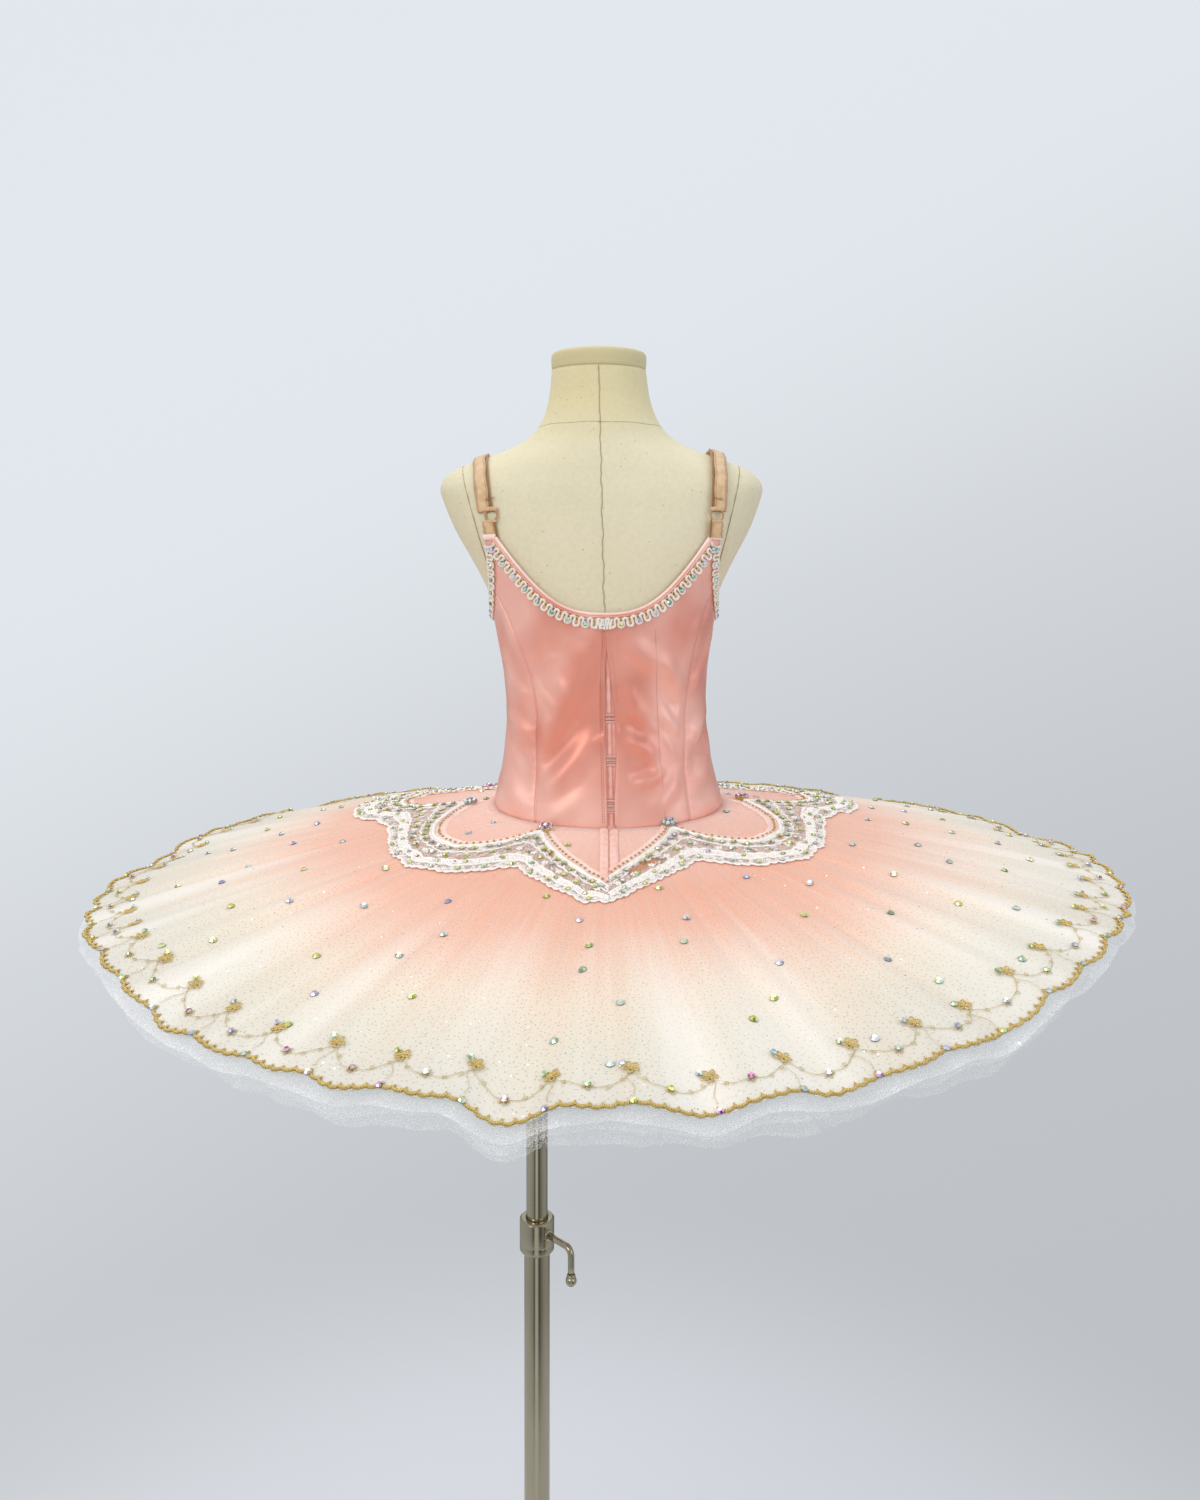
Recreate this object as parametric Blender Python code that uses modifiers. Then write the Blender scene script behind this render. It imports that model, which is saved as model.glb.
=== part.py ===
"""Ballet tutu on a limbless dress form that stands on a telescopic pole.

Metres, +Z up. The origin is the centre of the stand's underside. The garment's back faces +Y and the
wearer's left side is +X. Angles round the body, called psi, are measured from the centre back towards
the wearer's left, so 90 is the left side seam and 180 the centre front.
"""
import math
from collections import namedtuple

import bmesh
import bpy
from mathutils import Vector

COLLECTION = "ballet_tutu_on_dress_form"

# ---------------------------------------------------------------- driving dimensions
TORSO_X = -0.065            # torso axis at waist height, beside the pole, which fills one leg opening
LEAN = 0.0216               # sideways lean of the torso, metres a metre
WAIST_Z = 1.12

WALL = 0.0015               # cloth walls of the bodice and the brief
NET_WALL = 0.0011           # cloth walls of the skirt's layers
SEAM = 0.0003               # clearance between neighbouring pieces
BODICE_GAP = 0.0024         # form to the inside of the bodice
BRIEF_GAP = 0.0008          # form to the inside of the brief
SKIRT_INSET = BRIEF_GAP + WALL + 0.0007   # form to the inner edge of each skirt layer

FORM_BOTTOM_Z = 0.935
NECK_TOP_Z = 1.435
NECK_CAP_TOP_Z = 1.452
FORM_COLUMNS = 36

NECK_BACK_Z = 1.210         # centre back of the neckline
NECK_FRONT_Z = 1.228        # centre front of the neckline
STRAP_CORNER_Z = 1.277      # tops of the bodice under the straps
NECK_BACK_HALF = 53.6       # degrees, centre back to the strap corner
NECK_BACK_POWER = 2.75
NECK_FRONT_HALF = 48.0
NECK_FRONT_POWER = 2.3
ARMHOLE_CENTRE = 91.0       # degrees
ARMHOLE_HALF = 32.5         # degrees
ARMHOLE_DEPTH = 0.0675
SIDE_SEAM = 96.0            # degrees

BRAID_WIDTH = 0.0115
BRAID_THICK = 0.0022
PIPING_RADIUS = 0.0014

STRAP_WIDTH = 0.0135
STRAP_THICK = 0.0014
StrapLine = namedtuple("StrapLine", "top back front")
STRAP_LINES = {              # strap's middle from the torso axis, on the shoulder and at both ends
    "left": StrapLine(0.1165, 0.1020, 0.0950),
    "right": StrapLine(0.1030, 0.0975, 0.0950),
}
RING_RADIUS = 0.0052
RING_WIRE = 0.0009
RING_Z = 1.2955

RIM_RADIUS_CUSP = 0.4470    # skirt's edge between two scallops
SCALLOP_DEPTH = 0.0055
SCALLOPS = 56
SCALLOP_PHASE = 4.7         # degrees, one cusp's place
OVERLAY_HIP_COLUMNS = SCALLOPS
RIM_BRAID_WIDTH = 0.0055
RIM_BRAID_THICK = 0.0013
PLACKET_EDGE = 0.0008       # half the slit of the skirt's opening
PLACKET_WIDTH = 0.0075
PLACKET_FROM = 0.0955
PLACKET_TO_LEFT = 0.1820
PLACKET_TO_RIGHT = 0.1670
SIDE_ARCH = 0.006           # how far the skirt springs up beside the hips
SKIRT_REACH = 0.350         # hips to rim

BRIEF_TOP_DROP = 0.0048      # the brief's top below the skirt's join
BRIEF_LEG_SIDE_Z = 0.985
BRIEF_LEG_CENTRE_Z = 0.941
GUSSET_HALF_WIDTH = 0.030

OUTER_TUBE_RADIUS = 0.0120
INNER_TUBE_RADIUS = 0.0100
TUBE_WALL = 0.0015
INNER_TUBE_BOTTOM_Z = 0.30
COLLAR_RADIUS = 0.01625
COLLAR_BOTTOM_Z = 0.607
COLLAR_TOP_Z = 0.638
COLLAR_CHAMFER = 0.0015
COLLAR_LIP = 0.004
LEVER_Z = 0.6265
LEVER_ROD_RADIUS = 0.0030
LEVER_REACH = 0.030         # from the collar's face to the bend
LEVER_DROP = 0.026
LEVER_BALL_RADIUS = 0.0050
LEVER_AZIMUTH = 135.0       # degrees from +X, towards the back and the wearer's right

SOCKET_FLANGE_RADIUS = 0.024
SOCKET_FLANGE_THICK = 0.004
SOCKET_RADIUS = 0.0145
SOCKET_DEPTH = 0.028

BASE_RADIUS = 0.180
BASE_EDGE_THICK = 0.007
BASE_HUB_THICK = 0.013
BASE_HUB_RADIUS = 0.045
BASE_BOSS_RADIUS = 0.021
BASE_BOSS_TOP_Z = 0.048

# ---------------------------------------------------------------- short tables
Section = namedtuple("Section", "z half_width back front centre_y square")
FORM_SECTIONS = [
    Section(0.935, 0.0985, 0.0840, 0.0830, 0.000, 2.20),
    Section(0.943, 0.1035, 0.0880, 0.0865, 0.000, 2.20),
    Section(0.985, 0.1050, 0.0890, 0.0865, 0.000, 2.20),
    Section(1.030, 0.1026, 0.0865, 0.0850, 0.000, 2.15),
    Section(1.060, 0.0955, 0.0815, 0.0835, 0.000, 2.15),
    Section(1.085, 0.0918, 0.0780, 0.0830, 0.000, 2.15),
    Section(1.115, 0.0893, 0.0762, 0.0835, 0.000, 2.15),
    Section(1.150, 0.0912, 0.0785, 0.0855, 0.000, 2.20),
    Section(1.185, 0.0965, 0.0825, 0.0885, 0.000, 2.25),
    Section(1.210, 0.1010, 0.0850, 0.0900, 0.000, 2.30),
    Section(1.235, 0.1112, 0.0860, 0.0900, 0.000, 2.35),
    Section(1.260, 0.1240, 0.0850, 0.0870, 0.000, 2.50),
    Section(1.285, 0.1375, 0.0825, 0.0810, 0.000, 2.60),
    Section(1.310, 0.1475, 0.0775, 0.0730, 0.000, 2.60),
    Section(1.322, 0.1508, 0.0740, 0.0685, 0.000, 2.50),
    Section(1.332, 0.1475, 0.0710, 0.0655, -0.001, 2.30),
    Section(1.342, 0.1330, 0.0680, 0.0630, -0.002, 2.15),
    Section(1.352, 0.1080, 0.0640, 0.0600, -0.003, 2.05),
    Section(1.361, 0.0835, 0.0600, 0.0570, -0.004, 2.00),
    Section(1.369, 0.0702, 0.0560, 0.0545, -0.005, 2.00),
    Section(1.380, 0.0590, 0.0525, 0.0520, -0.006, 2.00),
    Section(1.395, 0.0515, 0.0490, 0.0495, -0.008, 2.00),
    Section(1.412, 0.0473, 0.0465, 0.0470, -0.010, 2.00),
    Section(1.435, 0.0447, 0.0447, 0.0447, -0.010, 2.00),
]

# Back princess seams, in degrees from the centre back on each side.
Seam = namedtuple("Seam", "z left right")
PRINCESS_SEAMS = [
    Seam(1.0150, 41.0, 46.0),
    Seam(1.0280, 41.5, 46.2),
    Seam(1.0650, 43.5, 47.3),
    Seam(1.0950, 45.0, 51.0),
    Seam(1.1300, 45.5, 53.0),
    Seam(1.1800, 52.5, 56.8),
    Seam(1.2196, 61.5, 62.0),
    Seam(1.2344, 66.0, 66.0),
]
FRONT_SEAM_HEM = 148.0      # degrees, front princess seams at the hem and at the armhole
FRONT_SEAM_TOP = 121.5

# The two edges of the centre-back opening, in metres from the centre back, + to the wearer's left.
Opening = namedtuple("Opening", "z left right")
BACK_OPENING = [
    Opening(1.015, 0.0020, -0.0058),
    Opening(1.040, 0.0020, -0.0062),
    Opening(1.090, 0.0020, -0.0088),
    Opening(1.120, 0.0020, -0.0080),
    Opening(1.160, 0.0010, -0.0048),
    Opening(1.188, -0.0012, -0.0018),
    Opening(1.212, -0.0014, -0.0017),
]

# Where the skirt meets the hips, and the height of its rim, all round.
Hip = namedtuple("Hip", "psi height")
HIP_HEIGHTS = [
    Hip(0.0, 1.0245), Hip(30.0, 1.0255), Hip(60.0, 1.0275), Hip(90.0, 1.0305),
    Hip(120.0, 1.0290), Hip(150.0, 1.0240), Hip(180.0, 1.0215),
]
Rim = namedtuple("Rim", "psi height")
RIM_HEIGHTS = [
    Rim(-180.0, 0.962), Rim(-150.0, 0.964), Rim(-120.0, 0.969), Rim(-95.0, 0.977),
    Rim(-75.0, 0.984), Rim(-58.0, 0.989), Rim(-45.0, 0.980), Rim(-30.0, 0.963),
    Rim(-15.0, 0.954), Rim(0.0, 0.952), Rim(15.0, 0.953), Rim(30.0, 0.953),
    Rim(45.0, 0.963), Rim(58.0, 0.972), Rim(75.0, 0.963), Rim(95.0, 0.961),
    Rim(120.0, 0.963), Rim(150.0, 0.961), Rim(180.0, 0.962),
]
# The rim's largest sags between the gathers.
Dip = namedtuple("Dip", "psi depth half_width")
RIM_DIPS = [
    Dip(8.0, 0.013, 5.0), Dip(-7.5, 0.008, 4.5), Dip(-17.9, 0.004, 5.0), Dip(22.0, 0.003, 5.0),
    Dip(-34.0, 0.004, 5.0), Dip(41.0, 0.005, 6.0), Dip(66.0, 0.006, 7.0), Dip(-66.0, 0.006, 7.0),
    Dip(97.0, 0.007, 8.0), Dip(-104.0, 0.006, 8.0), Dip(128.0, 0.006, 7.0), Dip(-137.0, 0.008, 8.0),
    Dip(157.0, 0.008, 7.0), Dip(-166.0, 0.006, 7.0), Dip(178.0, 0.005, 5.0),
]

# Lobed lace round the hips: its inner and outer edges, as distances from the skirt's axis.
Lobe = namedtuple("Lobe", "psi inner outer")
LACE_LOBES = [
    Lobe(0.0, 0.188, 0.220), Lobe(6.0, 0.167, 0.208), Lobe(12.0, 0.151, 0.195), Lobe(20.0, 0.132, 0.180),
    Lobe(25.0, 0.122, 0.173), Lobe(31.5, 0.110, 0.186), Lobe(35.0, 0.126, 0.197), Lobe(40.0, 0.150, 0.209),
    Lobe(48.0, 0.173, 0.2215), Lobe(55.0, 0.176, 0.219), Lobe(66.0, 0.166, 0.207), Lobe(76.0, 0.150, 0.202),
    Lobe(84.0, 0.137, 0.210), Lobe(89.5, 0.129, 0.223), Lobe(93.0, 0.160, 0.234), Lobe(99.0, 0.190, 0.247),
    Lobe(108.0, 0.212, 0.262), Lobe(118.0, 0.222, 0.272), Lobe(129.0, 0.214, 0.266), Lobe(138.0, 0.198, 0.250),
    Lobe(142.5, 0.190, 0.240), Lobe(150.0, 0.200, 0.248), Lobe(162.0, 0.220, 0.268),
    Lobe(172.0, 0.232, 0.280), Lobe(180.0, 0.236, 0.284),
]
LACE_SKEW = 0.008            # at the back the left half lies this far out and the right half this far in
LACE_SKEW_END = 48.0        # degrees
LACE_THICK = 0.0010
LACE_LIFT = 0.0006
LACE_HOLES = 20             # on each side
LACE_HOLE_HALF = 0.80       # degrees
LACE_SHARES = (0.0, 0.62, 0.76, 1.0)   # across the band; the holes lie between the middle two
# The one wide gap in the lace, on the wearer's right, beside the inner cord.
GapPoint = namedtuple("GapPoint", "psi distance")
LACE_GAP = [
    GapPoint(-4.6, 0.1755), GapPoint(-6.2, 0.1660), GapPoint(-11.0, 0.1570), GapPoint(-15.6, 0.1515),
    GapPoint(-15.8, 0.1550), GapPoint(-12.0, 0.1655), GapPoint(-10.0, 0.1695), GapPoint(-7.6, 0.1735),
    GapPoint(-5.4, 0.1775),
]

# Net layers under the overlay. Heights are below the overlay's, at the hip and at the rim.
Net = namedtuple("Net", "name radius hip_drop rim_drop waves wave_height phase")
NETS = [
    Net("net_1", 0.4570, 0.0100, 0.0070, 28, 0.0014, 0.0),
    Net("net_2", 0.4535, 0.0210, 0.0150, 24, 0.0024, 1.1),
    Net("net_3", 0.4490, 0.0320, 0.0235, 24, 0.0028, 2.3),
]

Finish = namedtuple("Finish", "color roughness metallic")
FINISHES = {
    "satin": Finish((0.86, 0.50, 0.45), 0.35, 0.0),
    "piping": Finish((0.93, 0.68, 0.64), 0.45, 0.0),
    "braid": Finish((0.90, 0.86, 0.74), 0.60, 0.0),
    "elastic": Finish((0.62, 0.42, 0.27), 0.60, 0.0),
    "ring": Finish((0.72, 0.52, 0.38), 0.40, 0.0),
    "tulle": Finish((0.95, 0.80, 0.74), 0.70, 0.0),
    "net": Finish((0.95, 0.95, 0.93), 0.75, 0.0),
    "lace": Finish((0.97, 0.96, 0.94), 0.75, 0.0),
    "gold": Finish((0.72, 0.53, 0.20), 0.45, 0.6),
    "cotton": Finish((0.90, 0.66, 0.61), 0.75, 0.0),
    "linen": Finish((0.73, 0.68, 0.53), 0.85, 0.0),
    "chrome": Finish((0.70, 0.70, 0.70), 0.15, 1.0),
    "iron": Finish((0.55, 0.56, 0.58), 0.35, 0.9),
}


# ---------------------------------------------------------------- scene helpers
def clear_scene():
    for obj in list(bpy.data.objects):
        bpy.data.objects.remove(obj, do_unlink=True)


def make_collection(name):
    collection = bpy.data.collections.new(name)
    bpy.context.scene.collection.children.link(collection)
    return collection


def make_material(obj, finish_name):
    """Give the object a Principled material of its own."""
    finish = FINISHES[finish_name]
    material = bpy.data.materials.new(obj.name)
    material.use_nodes = True
    shader = material.node_tree.nodes["Principled BSDF"]
    shader.inputs["Base Color"].default_value = (*finish.color, 1.0)
    shader.inputs["Roughness"].default_value = finish.roughness
    shader.inputs["Metallic"].default_value = finish.metallic
    obj.data.materials.append(material)


def add_object(name, mesh, finish_name):
    obj = bpy.data.objects.new(name, mesh)
    bpy.data.collections[COLLECTION].objects.link(obj)
    make_material(obj, finish_name)
    return obj


def shade_round(mesh, sharp_degrees=40):
    mesh.shade_smooth()
    mesh.set_sharp_from_angle(angle=math.radians(sharp_degrees))


# ---------------------------------------------------------------- curves through tables
def interpolate(rows, at):
    """Monotone cubic through a table's rows, whose first column is the one looked up."""
    keys = [row[0] for row in rows]
    at = min(max(at, keys[0]), keys[-1])
    index = max(i for i in range(len(keys) - 1) if keys[i] <= at)
    span = keys[index + 1] - keys[index]
    t = (at - keys[index]) / span
    values = []
    for column in range(1, len(rows[0])):
        slopes = [(rows[i + 1][column] - rows[i][column]) / (keys[i + 1] - keys[i])
                  for i in range(len(rows) - 1)]

        def tangent(i):
            if i == 0 or i == len(rows) - 1:
                return slopes[min(i, len(slopes) - 1)]
            before, after = slopes[i - 1], slopes[i]
            return 0.0 if before * after <= 0 else 2 * before * after / (before + after)

        low, high = rows[index][column], rows[index + 1][column]
        m0, m1 = tangent(index) * span, tangent(index + 1) * span
        values.append((2 * t ** 3 - 3 * t ** 2 + 1) * low + (t ** 3 - 2 * t ** 2 + t) * m0
                      + (3 * t ** 2 - 2 * t ** 3) * high + (t ** 3 - t ** 2) * m1)
    return values


def wrap_degrees(psi):
    return (psi + 180.0) % 360.0 - 180.0


def axis_x(z):
    """The torso's axis, which leans a little."""
    return TORSO_X + LEAN * (z - WAIST_Z)


# ---------------------------------------------------------------- the dress form's surface
def form_surface(psi, z):
    half_width, back, front, centre_y, square = interpolate(FORM_SECTIONS, z)
    s, c = math.sin(math.radians(psi)), math.cos(math.radians(psi))
    depth = back if c >= 0 else front
    radius = (abs(s / half_width) ** square + abs(c / depth) ** square) ** (-1.0 / square)
    return Vector((axis_x(z) + radius * s, centre_y + radius * c, z))


def form_normal(psi, z):
    step_psi, step_z = 0.5, 0.001
    around = form_surface(psi + step_psi, z) - form_surface(psi - step_psi, z)
    up = form_surface(psi, z + step_z) - form_surface(psi, z - step_z)
    return up.cross(around).normalized()


def form_point(psi, z, lift=0.0):
    """A point on the form's surface, moved out by lift."""
    return form_surface(psi, z) + form_normal(psi, z) * lift


def hem_point(psi, z, lift):
    """A point moved out level, for edges that have to stay at their height."""
    surface = form_surface(psi, z)
    normal = form_normal(psi, z)
    level = Vector((normal.x, normal.y, 0.0)).normalized()
    return surface + level * lift


# ---------------------------------------------------------------- building meshes
def grid_mesh(name, rows, wrap=False, facing_out=True):
    """Quads between rows of points. A row may have twice the columns of the one before it."""
    bm = bmesh.new()
    grid = [[bm.verts.new(p) for p in row] for row in rows]
    for low, high in zip(grid, grid[1:]):
        count = len(low) if wrap else len(low) - 1
        doubled = len(high) > len(low)
        for i in range(count):
            a, b = low[i], low[(i + 1) % len(low)]
            if doubled:
                c, m, d = high[(2 * i + 2) % len(high)], high[2 * i + 1], high[2 * i]
                faces = [(a, m, d), (a, b, m), (b, c, m)]
            else:
                faces = [(a, b, high[(i + 1) % len(high)], high[i])]
            for face in faces:
                bm.faces.new(face if facing_out else face[::-1])
    mesh = bpy.data.meshes.new(name)
    bm.to_mesh(mesh)
    bm.free()
    return mesh


def sheet(name, rows, finish_name, thickness, wrap=False, facing_out=True, grow_out=False):
    """A cloth wall: an open surface with Solidify."""
    obj = add_object(name, grid_mesh(name, rows, wrap, facing_out), finish_name)
    solid = obj.modifiers.new("wall", "SOLIDIFY")
    solid.thickness = thickness
    solid.offset = 1.0 if grow_out else -1.0
    shade_round(obj.data)
    return obj


def loft(name, rings, finish_name, closed=False):
    """A closed body through rings of points, each ring counter-clockwise seen along the route."""
    bm = bmesh.new()
    loops = [[bm.verts.new(p) for p in ring] for ring in rings]
    pairs = list(zip(loops, loops[1:]))
    if closed:
        pairs.append((loops[-1], loops[0]))
    for low, high in pairs:
        for i in range(len(low)):
            j = (i + 1) % len(low)
            bm.faces.new((low[i], low[j], high[j], high[i]))
    if not closed:
        bm.faces.new(loops[0][::-1])
        bm.faces.new(loops[-1])
    bmesh.ops.recalc_face_normals(bm, faces=bm.faces)
    mesh = bpy.data.meshes.new(name)
    bm.to_mesh(mesh)
    bm.free()
    obj = add_object(name, mesh, finish_name)
    shade_round(mesh)
    return obj


def turned(name, profile, finish_name, steps=32, closed=False, location=(0.0, 0.0, 0.0)):
    """A profile of (radius, z) points, listed from top to bottom outside, turned about Z."""
    bm = bmesh.new()
    verts = [bm.verts.new((radius, 0.0, z)) for radius, z in profile]
    for a, b in zip(verts, verts[1:]):
        bm.edges.new((a, b))
    if closed:
        bm.edges.new((verts[-1], verts[0]))
    mesh = bpy.data.meshes.new(name)
    bm.to_mesh(mesh)
    bm.free()
    obj = add_object(name, mesh, finish_name)
    obj.location = location
    screw = obj.modifiers.new("turn", "SCREW")
    screw.steps = screw.render_steps = steps
    screw.use_merge_vertices = True
    screw.merge_threshold = 0.0001
    screw.use_smooth_shade = False
    return obj


def rod(name, points, radius, finish_name, resolution=2, cyclic=False):
    """A round rod or cord along a polyline."""
    curve = bpy.data.curves.new(name, "CURVE")
    curve.dimensions = "3D"
    curve.bevel_depth = radius
    curve.bevel_resolution = resolution
    curve.use_fill_caps = not cyclic
    spline = curve.splines.new("POLY")
    spline.points.add(len(points) - 1)
    spline.use_cyclic_u = cyclic
    for slot, point in zip(spline.points, points):
        slot.co = (*point, 1.0)
    return add_object(name, curve, finish_name)


# ---------------------------------------------------------------- dress form
def build_form():
    heights = [row.z for row in FORM_SECTIONS]
    rings = []
    for z in heights:
        rings.append([form_surface(-360.0 * i / FORM_COLUMNS, z) for i in range(FORM_COLUMNS)])
    loft("form_torso", rings, "linen")

    neck = FORM_SECTIONS[-1]
    radius = neck.half_width
    low, high = NECK_TOP_Z + SEAM, NECK_CAP_TOP_Z
    profile = [(0.0, high), (radius - 0.006, high - 0.0005), (radius - 0.0015, high - 0.003),
               (radius, high - 0.007), (radius, low), (0.0, low)]
    turned("form_neck_cap", profile, "linen", 28,
           location=(axis_x(NECK_TOP_Z), neck.centre_y, 0.0))


# ---------------------------------------------------------------- bodice
def neckline_z(psi):
    """Height of the bodice's top edge at the back and front necklines."""
    from_back = abs(wrap_degrees(psi))
    if from_back <= 90.0:
        share = min(from_back / NECK_BACK_HALF, 1.0)
        return NECK_BACK_Z + (STRAP_CORNER_Z - NECK_BACK_Z) * share ** NECK_BACK_POWER
    share = min((180.0 - from_back) / NECK_FRONT_HALF, 1.0)
    return NECK_FRONT_Z + (STRAP_CORNER_Z - NECK_FRONT_Z) * share ** NECK_FRONT_POWER


def armhole_z(psi):
    across = min(abs(abs(wrap_degrees(psi)) - ARMHOLE_CENTRE) / ARMHOLE_HALF, 1.0)
    return STRAP_CORNER_Z - ARMHOLE_DEPTH * math.sqrt(1.0 - across ** 2)


def armhole_psi(z, back):
    """The armhole edge's angle at a height, on its back or front side."""
    drop = min(max((STRAP_CORNER_Z - z) / ARMHOLE_DEPTH, 0.0), 1.0)
    reach = ARMHOLE_HALF * math.sqrt(1.0 - drop ** 2)
    return ARMHOLE_CENTRE - reach if back else ARMHOLE_CENTRE + reach


def back_edge(z, left):
    """The centre-back opening's edge, in degrees, positive on the left side."""
    left_x, right_x = interpolate(BACK_OPENING, z)
    depth = interpolate(FORM_SECTIONS, z)[1] + BODICE_GAP
    across = left_x if left else -right_x
    return math.degrees(math.atan2(across, depth))


def back_princess(z, left):
    """Back princess seam up to the armhole, then the armhole's own edge."""
    if z <= PRINCESS_SEAMS[-1].z:
        return interpolate(PRINCESS_SEAMS, z)[0 if left else 1]
    return armhole_psi(z, True)


def front_princess(z):
    """Front princess seam up to the armhole, then the armhole's own edge."""
    seam_top_z = armhole_z(FRONT_SEAM_TOP)
    if z > seam_top_z:
        return armhole_psi(z, False)
    share = max((z - WAIST_Z) / (seam_top_z - WAIST_Z), 0.0)
    return FRONT_SEAM_HEM + (FRONT_SEAM_TOP - FRONT_SEAM_HEM) * share ** 1.5


def side_seam(_z):
    return SIDE_SEAM


def hip_z(psi):
    return interpolate(HIP_HEIGHTS, abs(wrap_degrees(psi)))[0]


def hem_z(psi):
    return hip_z(psi) + 2 * SEAM


# Broad drag folds of the satin: where each starts and ends, its half width and height.
Fold = namedtuple("Fold", "psi_low z_low psi_high z_high half_width height")
SATIN_FOLDS = [
    Fold(33.0, 1.075, 10.0, 1.150, 0.011, 0.0014),
    Fold(38.0, 1.100, 24.0, 1.165, 0.009, 0.0011),
    Fold(-12.0, 1.070, -30.0, 1.090, 0.009, 0.0012),
    Fold(-34.0, 1.040, -44.0, 1.085, 0.010, 0.0012),
    Fold(150.0, 1.060, 172.0, 1.110, 0.011, 0.0012),
    Fold(-150.0, 1.070, -170.0, 1.100, 0.011, 0.0011),
]


def satin_lift(psi, z):
    """How far the satin stands out in its folds."""
    psi = wrap_degrees(psi)
    total = 0.0
    radius = 0.085
    for fold in SATIN_FOLDS:
        start = Vector((math.radians(fold.psi_low) * radius, fold.z_low))
        along = Vector((math.radians(fold.psi_high) * radius, fold.z_high)) - start
        here = Vector((math.radians(psi) * radius, z)) - start
        share = here.dot(along) / along.length_squared
        if not 0.0 < share < 1.0:
            continue
        away = (here - along * share).length / fold.half_width
        if away < 1.0:
            total += fold.height * math.sin(math.pi * share) * math.cos(math.pi * away / 2) ** 2
    return total


SEAM_ROWS = 9               # rows up a seam, the same on the two panels that meet there
CORNER_ROWS = 3             # further rows up an armhole's edge to the strap corner


def row_shares(low, high, seam_top):
    """How far up an edge each row lies: in step along a seam, then on to the strap corner."""
    rows = SEAM_ROWS + CORNER_ROWS
    if seam_top is None:
        return [j / rows for j in range(rows + 1)]
    seam_share = (seam_top - low) / (high - low)
    shares = [seam_share * j / SEAM_ROWS for j in range(SEAM_ROWS + 1)]
    return shares + [seam_share + (1 - seam_share) * (j + 1) / CORNER_ROWS for j in range(CORNER_ROWS)]


def top_of_column(room_above):
    """The lowest height at which a column of cloth reaches the panel's top edge."""
    low, high = 1.15, 1.28
    for _ in range(24):
        middle = (low + high) / 2
        if room_above(middle) > 0.00001:
            low = middle
        else:
            high = middle
    return high


def bodice_panel(name, edges, top, columns, mirror, seam_tops=None):
    """A wall between two seams, given as angles that depend on height, from the hem to the top edge.
    seam_tops are the heights where each edge leaves its seam for the armhole, on a panel with a
    strap corner. Returns the top edge's (psi, z) points."""
    side = -1.0 if mirror else 1.0
    seam_half = math.degrees(SEAM / 2 / 0.09)
    rows = SEAM_ROWS + CORNER_ROWS if seam_tops else SEAM_ROWS

    def edge_psi(share, z):
        first, second = edges[0](z) + seam_half, edges[1](z) - seam_half
        return first + (second - first) * share

    def reach(share):
        low = hem_z(edge_psi(share, hem_z(0.0)))
        return low, top_of_column(lambda z: top(edge_psi(share, z)) - z)

    if seam_tops:
        first, second = (row_shares(*reach(end), seam_top) for end, seam_top in enumerate(seam_tops))
    else:
        first = second = [j / rows for j in range(rows + 1)]
    points = [[] for _ in range(rows + 1)]
    top_row = []
    for i in range(columns + 1):
        share = i / columns
        low, high = reach(share)
        for j in range(rows + 1):
            z = low + (high - low) * (first[j] + (second[j] - first[j]) * share)
            psi = side * edge_psi(share, z)
            lift = BODICE_GAP + satin_lift(psi, z)
            place = hem_point if j == 0 else form_point
            points[j].append(place(psi, z, lift))
        top_row.append((psi, z))
    sheet(name, points, "satin", WALL, facing_out=mirror, grow_out=True)
    return top_row


def build_bodice():
    """All the panels. Returns the top edges of the back and front necklines."""
    back_tops = {}
    for word, left in (("left", True), ("right", False)):
        def edge(z, left=left):
            return back_edge(z, left)

        def princess(z, left=left):
            return back_princess(z, left)

        mirror = not left
        back_tops[word] = bodice_panel("bodice_back_" + word, (edge, princess), neckline_z, 7, mirror,
                                       (None, PRINCESS_SEAMS[-1].z))
        bodice_panel("bodice_side_back_" + word, (princess, side_seam), armhole_z, 4, mirror)
        bodice_panel("bodice_side_front_" + word, (side_seam, front_princess), armhole_z, 4, mirror)
    seam_top = armhole_z(FRONT_SEAM_TOP)
    front_top = bodice_panel("bodice_front", (front_princess, lambda z: 360.0 - front_princess(z)),
                             neckline_z, 8, False, (seam_top, seam_top))
    return back_tops["right"][::-1] + back_tops["left"], front_top


def build_closure_tape():
    """Hook-and-bar tape behind the centre-back opening."""
    low, high, half_width = 1.0205, 1.198, 0.0105
    lift = BODICE_GAP - SEAM - 0.0013
    rows = []
    for j in range(9):
        z = low + (high - low) * j / 8
        centre = -0.003
        depth = interpolate(FORM_SECTIONS, z)[1]
        taper = 1.0 if j < 8 else 0.6
        rows.append([form_point(math.degrees((centre + half_width * taper * i) / depth), z, lift)
                     for i in (-1, 0, 1)])
    sheet("closure_tape", rows, "cotton", 0.0009, facing_out=False, grow_out=True)


# ---------------------------------------------------------------- bands along the bodice's edges
def band(name, stations, finish_name, width, thick, lift):
    """A flat band on the bodice. Stations are (psi, z, psi_step, z_step): an edge point and the way
    into the cloth, as degrees and metres for one metre of width."""
    rings = []
    for psi, z, psi_step, z_step in stations:
        near = form_point(psi, z, lift)
        far = form_point(psi + psi_step * width, z + z_step * width, lift)
        out_near = form_normal(psi, z) * thick
        out_far = form_normal(psi + psi_step * width, z + z_step * width) * thick
        rings.append([near, far, far + out_far, near + out_near])
    loft(name, rings, finish_name)


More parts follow.
